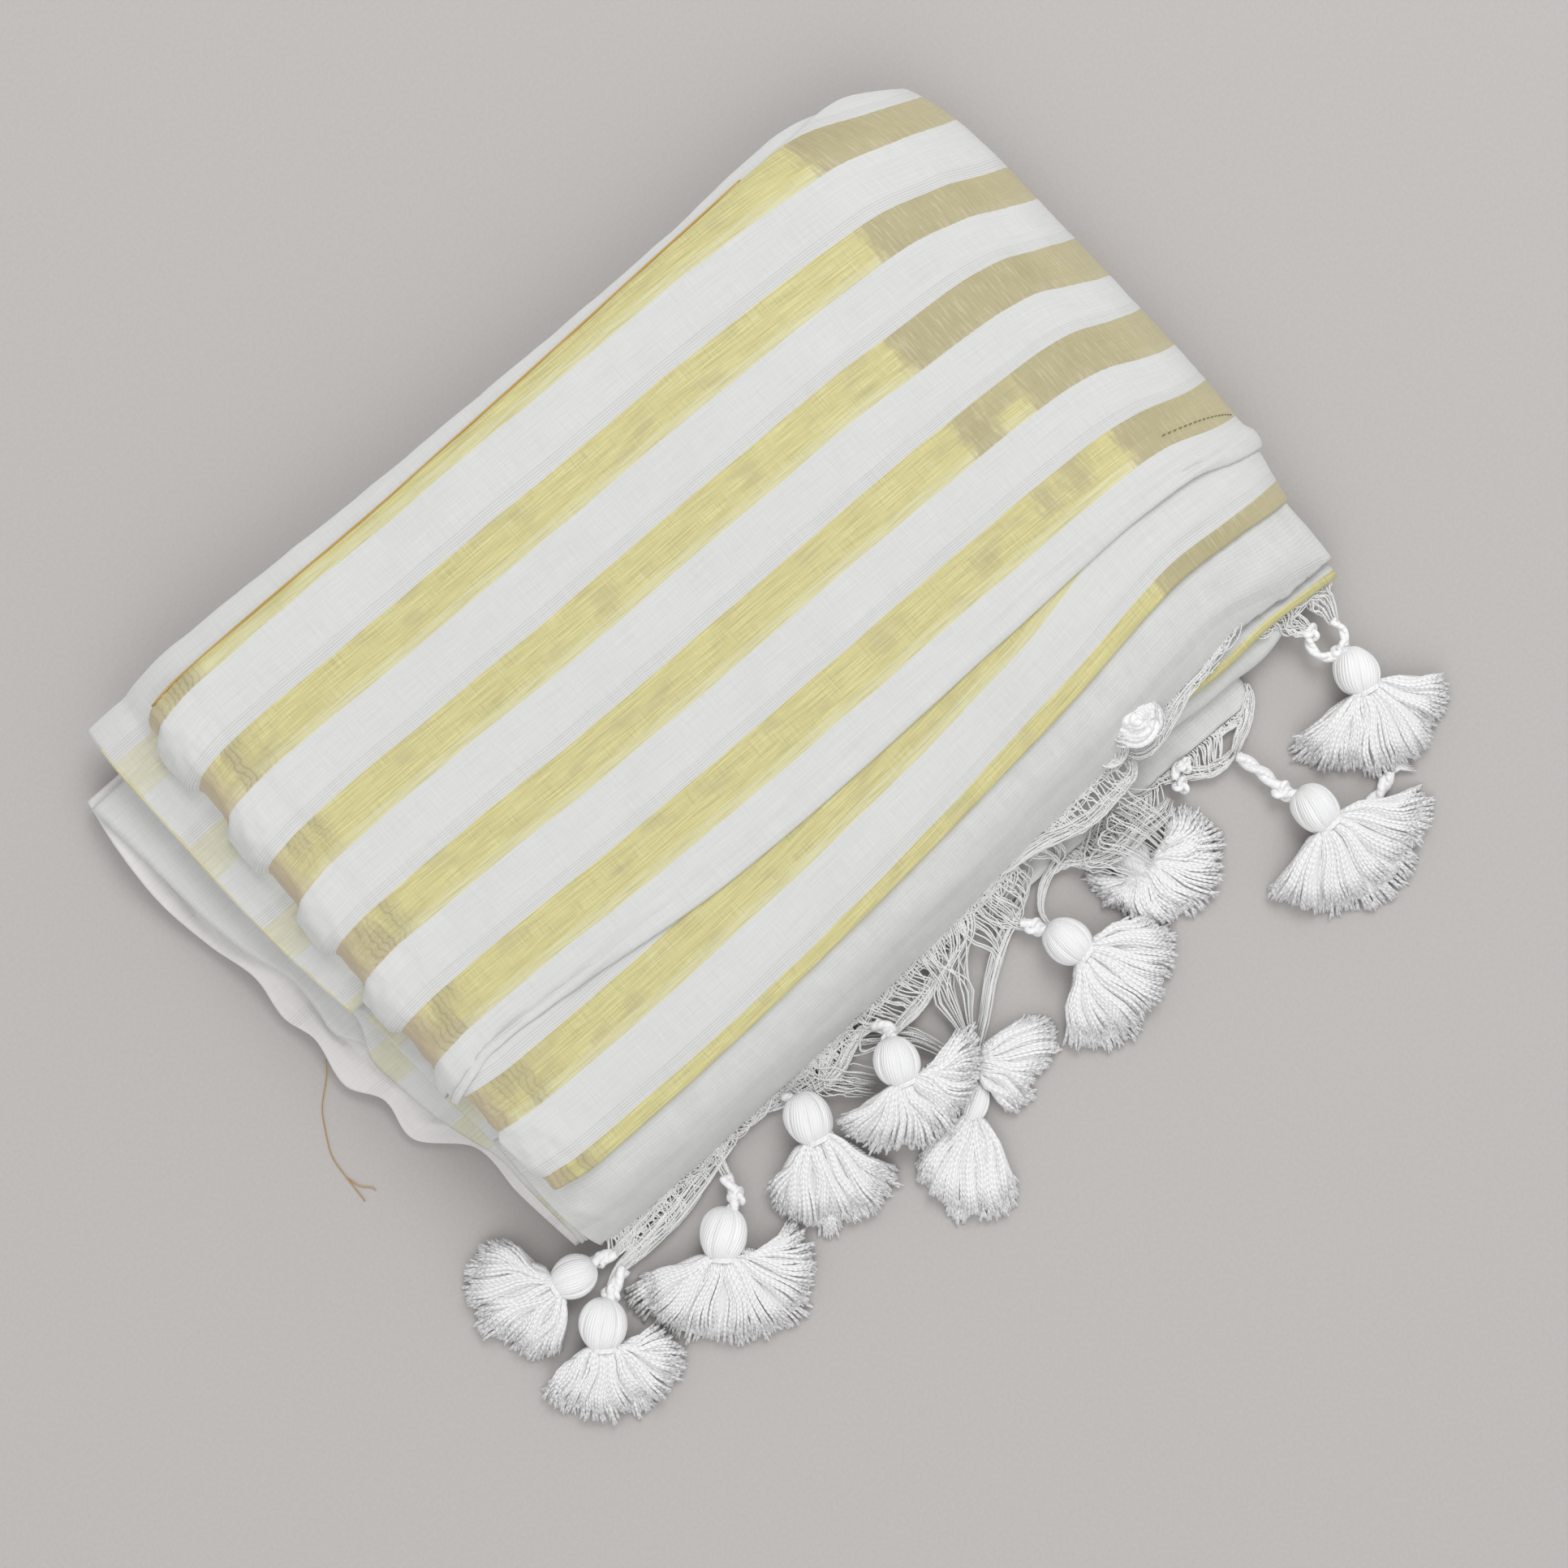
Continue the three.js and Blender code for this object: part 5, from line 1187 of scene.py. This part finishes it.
def skirt(centre, axis, radius, flat, rise, outline, seed):
    """Locks of yarn fanned out from the neck over a dense mass of yarn, each yarn frayed at its end."""
    draws = np.random.default_rng(seed)
    angles, lengths = np.array(outline, float).T
    low, high = angles[0], angles[-1]
    angle, across, share, row, lock = lock_yarns(LOCK_ROWS, low, high, draws)
    count = len(angle)
    low_down = 1 if flat == 1 else 0.72
    reach = smooth_read(angles, lengths, angle) * share - 0.6 + draws.normal(0, 0.7, count)
    bulge = 1.5 * (1 - across * across)
    base = (np.array([0.7, 2.3, 4.6])[row] + bulge * 0.8) * low_down + draws.uniform(0, 0.6, count)
    lift = np.array([-0.25, 0.05, 0.34])[row] * radius * flat + draws.uniform(-0.3, 0.3, count)
    path, heading = fan(centre, axis, radius, rise, angle, reach, lift, base, len(YARN_WIDTHS))
    t = np.linspace(0, 1, len(YARN_WIDTHS))
    path[..., 2] += bulge[:, None] * 0.8 * np.sin(np.pi * t) ** 0.7 * low_down
    locks = ROW_LOCKS * len(LOCK_ROWS)
    bends = draws.uniform(0, 2 * np.pi, locks)[lock][:, None]
    swing = (0.5 + 0.9 * draws.random(locks))[lock][:, None]
    sway = swing * np.sin(5.2 * t + bends) * np.sin(np.pi * t * 0.75)
    sway = sway * np.array([0.8, 1.0, 1.25])[row][:, None]
    sway = sway + draws.normal(0, 0.22, (count, 1)) * np.sin(t * np.pi * draws.uniform(0.8, 2.2, (count, 1)))
    path[..., 0] -= heading[:, None, 1] * sway
    path[..., 1] += heading[:, None, 0] * sway
    parts = [tubes(path, YARN_RADIUS * np.array(YARN_WIDTHS), 4, 0.6)]

    around = np.linspace(0, 1, MASS_LINES)
    full = mix(low, high, mix(0.015, 0.985, around))
    mass, _ = fan(centre, axis, radius, rise, full, smooth_read(angles, lengths, full) * 0.955 - 1.2,
                  np.full(MASS_LINES, 0.24 * radius * flat), np.full(MASS_LINES, 4.4 * low_down),
                  MASS_POINTS)
    along = np.linspace(0, 1, MASS_POINTS)
    mass[..., 2] += 0.35 * np.sin(around * 190 + seed)[:, None] * along
    mass[..., 2] += 0.7 * np.sin(np.pi * along) * low_down - 1.0 * along**6
    uv = stacked(along[None] * 30, around[:, None] * 45)
    body = shell(mass, uv, 2.6 * low_down)
    body[0][:, 2] = np.maximum(body[0][:, 2], 0.25)
    parts.append(body)

    ends = []
    for _ in range(3):
        fray = draws.normal(0, 1, (count, 2))
        out = unit(path[:, -1] - path[:, -2])
        out[:, 0] -= heading[:, 1] * fray[:, 0] * 0.36
        out[:, 1] += heading[:, 0] * fray[:, 0] * 0.36
        out[:, 2] += fray[:, 1] * 0.1
        far_end = path[:, -1] + out * draws.uniform(0.4, 2.0, (count, 1))
        far_end[:, 2] = np.maximum(far_end[:, 2], THREAD_FLOOR)
        ends.append(np.stack([mix(path[:, -2], path[:, -1], 0.7), far_end], 1))
    parts.append(tubes(np.concatenate(ends), [0.46, 0.3]))
    return parts


CORD_PITCH = 13.0                 # a cord's length for each turn of its two strands


def twisted(points, radius=1.4):
    """A cord of two twisted strands along a smooth line."""
    length = run_length(np.asarray(points, float))[-1]
    count = max(10, int(length * 1.6))
    line = through(points, count)
    tangent = unit(np.gradient(line, axis=0))
    side = unit(np.cross(tangent, [0, 0, 1.0]))
    up = np.cross(side, tangent)
    phase = np.linspace(0, length / CORD_PITCH * 2 * np.pi, count)[:, None]
    lines = np.array([line + (side * np.cos(a) + up * np.sin(a)) * radius * 0.62
                      for a in (phase, phase + np.pi)])
    lines[..., 2] = np.maximum(lines[..., 2], radius + 0.1)
    return tubes(lines, radius, 8)


def knot(x, y, z, size):
    """A small overhand knot."""
    t = np.linspace(0, 2 * np.pi, 44)
    line = stacked(np.sin(t) + 1.6 * np.sin(2 * t), np.cos(t) - 1.6 * np.cos(2 * t),
                   -1.1 * np.sin(3 * t)) * size * 0.34 + [x, y, z]
    line[:, 2] = np.maximum(line[:, 2], 1.1)
    return tubes([line], size * 0.36, 8)


def tassels():
    made = []
    for number, (x, y, radius, flat, rise, outline) in TASSELS.items():
        cords = CORDS.get(number)
        middle = math.radians(mix(outline[0][0], outline[-1][0], 0.5))
        if cords:
            back = math.atan2(y - cords[0][1], x - cords[0][0])
            middle += 0.5 * math.atan2(math.sin(back - middle), math.cos(back - middle))
        axis = np.array([math.cos(middle), math.sin(middle), 0.0])
        centre = np.array([x, y, radius * flat + 0.5 + rise])
        long = HEAD_LENGTHS.get(number, HEAD_LENGTH)
        parts = tassel_head(centre, axis, radius, flat, long, np.random.default_rng(HEAD_SEED + number))
        parts += skirt(centre, axis, radius, flat, rise, outline, SKIRT_SEED + number)
        if cords:
            parts.append(twisted(cords))
        if number == 2:
            parts.append(twisted(FAR_CORD))
            spray = [[(130, -155.8, 2.6), (134, -156.5 + 0.6 * k, 2.4), (137.5, -160.5 + 1.1 * k, 1.4)]
                     for k in range(8)]
            parts.append(tubes(spray, [0.6, 0.55, 0.25]))
        name = f"tassel_{number:02d}"
        made.append(piece(f"{name}_yarn", parts, YARN, "tassel_yarn", name))
    return made


ROSETTE_AT = (79, -91.5)
ROSETTE_TURNS = 15


def rosette():
    """Soft thick yarn wound round itself on the cloth's edge, with loose coils beside it."""
    lines = []
    for k in range(ROSETTE_TURNS):
        rank = k / (ROSETTE_TURNS - 1)
        t = np.linspace(0, 2 * np.pi * (0.75 + 0.35 * DRAWS.random()), 30)
        wide = mix(6.4, 0.9, rank) * (1 + 0.10 * np.sin(2 * t + 1.7 * k))
        turn = t + k * 2.4
        tilt = 0.34 + 0.25 * DRAWS.uniform(-1, 1)
        z = 25.2 + mix(-1.2, 3.0, rank) + tilt * wide * np.sin(turn) + 0.5 * np.sin(3 * t + k)
        middle = np.array(ROSETTE_AT) + DRAWS.uniform(-0.7, 0.7, 2) * (1 - rank)
        x, y = middle[0] + wide * np.cos(turn) * 1.06, middle[1] + wide * np.sin(turn)
        lines.append(stacked(x, y, z))
    parts = [tubes(lines, 1.25, 8)]
    strands = []
    for k in range(26):
        t = np.linspace(0, 2 * np.pi * DRAWS.uniform(0.3, 0.7), 20)
        wide = DRAWS.uniform(5.2, 8.2) * (1 + 0.12 * np.sin(3 * t + k))
        turn = t + DRAWS.uniform(0, 6.28)
        z = 24.6 + 0.34 * wide * np.sin(turn) + DRAWS.uniform(-0.6, 1.2) + 0.6 * np.sin(2 * t)
        x, y = ROSETTE_AT[0] + wide * np.cos(turn) * 1.06, ROSETTE_AT[1] + wide * np.sin(turn)
        strands.append(stacked(x, y, z))
    parts.append(tubes(strands, 0.3))
    loose = []
    for k in range(11):
        t = np.linspace(0, 2 * np.pi * 1.1, 26)
        ring = 1.6 + 0.35 * k
        loose.append(stacked(65 + 0.3 * k + ring * np.cos(t + k), -95.0 + 0.8 * ring * np.sin(t + k),
                             18.6 + 0.15 * k + 0.30 * ring * np.sin(t + k) + 0.3 * np.sin(3 * t)))
    parts.append(tubes(loose, 0.32))
    return piece("thread_rosette_yarn", parts, YARN, "tassel_yarn", "thread_rosette")


def ties():
    """Knots on the cords and fringe, and short cords between them."""
    parts = [knot(*row) for row in KNOTS] + [twisted(*row) for row in TIE_CORDS]
    return piece("tie_knots_yarn", parts, YARN, "tassel_yarn")


WEFT_ALONG = [(-142, -96), (-88, -48), (-44, 6), (18, 62), (96, 122)]
WEFT_ROWS, WEFT_LOOPS = 6, 230


def hem_weft():
    """Weft threads come loose along the cut edges, and short cross threads in the gaps they leave."""
    long = []
    for row in range(WEFT_ROWS):
        for x0, x1 in WEFT_ALONG:
            x = np.linspace(x0 + 2 * row, x1 - 3 * row, 40)
            p = hem_at(x)
            p[:, 1] -= 0.4 + 0.7 * row + 0.45 * wobble(x, 8 + 3 * row, row + x0)
            p[:, 2] -= 0.2 * row
            long.append(p)
    loops = []
    for _ in range(WEFT_LOOPS):
        x0 = DRAWS.uniform(-142, 118)
        size = DRAWS.uniform(1.2, 4.4)
        t = np.linspace(0, np.pi, 12)
        x = x0 + size * (1.3 * np.cos(t) + DRAWS.uniform(-0.9, 0.9) * np.sin(t))
        p = hem_at(x)
        p[:, 1] -= size * np.sin(t) * DRAWS.uniform(0.5, 1.0)
        p[:, 2] += DRAWS.uniform(0.0, 0.6) - 0.3 * np.sin(t)
        loops.append(p)
    return piece("hem_weft_threads", [tubes(long, 0.2), tubes(loops, 0.2)], THREAD, "cotton_white")


def on_pallu(flat_x, turn, y, lift):
    """Places above the pallu's surface, by column and y."""
    flat = flat_x < ROUND_START
    here = pallu_point(flat_x, turn, y)
    along = pallu_point(flat_x + 0.5 * flat, turn + 0.5 * TURN_PER_MM * ~flat, y) - here
    return here + unit(np.cross(along, pallu_point(flat_x, turn, y + 0.5) - here)) * lift


LOOSE_END = [
    [(-176, -13, 3.2), (-179.7, -17, 1.2), (-187, -23.5, 0.5), (-190.5, -29, 0.4), (-194.3, -37, 0.4),
     (-195, -45, 0.5), (-195.3, -54, 0.5)],
    [(-195, -44.8, 0.4), (-193.5, -49.5, 0.5), (-191, -52.2, 0.5), (-190.6, -53.5, 0.5)],
]


def coloured_threads():
    """The orange-gold edge thread along the back fold, and the loose zari thread on the floor."""
    x = np.linspace(-141, 91, 120)
    edge = on_pallu(x, 0 * x, line_y("backEdge", x) + 1.0, PALLU_LIFT - 0.45)
    parts = [tubes([edge], 0.34, 6), tubes([through(line, 40) for line in LOOSE_END], 0.16)]
    return piece("zari_edge_threads", parts, GOLD_THREAD, "pallu_striped")


def selvedge():
    """The pale gold thread in layer A's selvedge."""
    y = np.linspace(102, -7, 80)
    x = smooth_read(A_EDGE_Y, A_EDGE_X, y)
    line = stacked(x + 0.35, y, stack_height(x, y) + UNDER_LIFT + 0.25 + 0.1 * wobble(y, 9, 1.0))
    return piece("selvedge_thread", [tubes([line], 0.22)], PALE_THREAD, "pallu_striped")


FLOAT_COUNT = 17


def dotted_thread():
    """A dark thread that shows in short floats on the fifth stripe's right end."""
    turn = np.linspace(42, 76, FLOAT_COUNT)
    y = mix(-31.5, -39.5, (turn - 42) / 34)
    column = np.full(FLOAT_COUNT, float(ROUND_START))
    starts = on_pallu(column, turn, y, PALLU_LIFT + 0.4)
    ends = on_pallu(column, turn + 1.15, y - 0.27, PALLU_LIFT + 0.4)
    lines = np.stack([starts, (starts + ends) / 2, ends], 1)
    return piece("dark_floats", [tubes(lines, 0.17)], DARK_THREAD, "pallu_striped")


# ---- build
TOP = pallu_top()
PLEAT = pallu_pleat()
MID = pallu_mid()
END = pallu_end()
LAYER_A = under_layer_a()
LAYER_B = under_layer_b()
BETWEEN_SHEET = between_layers()
HIDDEN = hidden_folds()
SECOND = second_layer()
ROLL = lower_roll()
THIRD = third_layer()
LEFT_FRINGE = fringe("fringe_end_left", LEFT_FLOWS)
MIDDLE_FRINGE = fringe("fringe_end_middle", MIDDLE_FLOWS)
CENTRE_FRINGE = fringe("fringe_end_centre", CENTRE_FLOWS)
THIRD_FRINGE = fringe("fringe_third", THIRD_FLOWS)
TASSEL_PIECES = tassels()
ROSETTE = rosette()
TIES = ties()
WEFT = hem_weft()
EDGE_THREADS = coloured_threads()
SELVEDGE = selvedge()
FLOATS = dotted_thread()

# ---- floor, light and camera
FAR = 3000
FLOOR = mesh_object("floor", [(-FAR, -FAR, 0), (FAR, -FAR, 0), (FAR, FAR, 0), (-FAR, FAR, 0)], [[0, 1, 2, 3]],
                    [(0, 0), (1, 0), (1, 1), (0, 1)],
                    plain_material("pale_floor", (0.50, 0.475, 0.465, 1), 0.9, 0.0))


def area_light(name, position, size, power):
    light = bpy.data.lights.new(name, "AREA")
    light.size = size
    light.energy = power
    made = bpy.data.objects.new(name, light)
    made.location = position
    made.rotation_mode = "QUATERNION"
    to_middle = -made.location
    made.rotation_quaternion = to_middle.to_track_quat("-Z", "Y")
    bpy.context.scene.collection.objects.link(made)


area_light("key_light", (0.95, 0.60, 1.55), size=1.0, power=14.5)
area_light("fill_light", (-0.9, -0.8, 1.5), size=1.6, power=7)

SURROUND = 0.66                   # strength of the even white light from all round
world = bpy.data.worlds.new("soft_surround")
world.use_nodes = True
world.node_tree.nodes["Background"].inputs[0].default_value = (1, 1, 1, 1)
world.node_tree.nodes["Background"].inputs[1].default_value = SURROUND
bpy.context.scene.world = world

VIEW_FROM, VIEW_TURN, VIEW_LENS = (-0.014, -0.0385, 0.900), -40, 67.08    # straight down, turned

camera_data = bpy.data.cameras.new("camera")
camera_data.sensor_width = 36
camera_data.lens = VIEW_LENS
camera_data.clip_start, camera_data.clip_end = 0.01, 20
camera = bpy.data.objects.new("camera", camera_data)
camera.location = VIEW_FROM
camera.rotation_euler = (0, 0, math.radians(VIEW_TURN))
bpy.context.scene.collection.objects.link(camera)
bpy.context.scene.camera = camera
bpy.context.scene.view_settings.view_transform = "Standard"
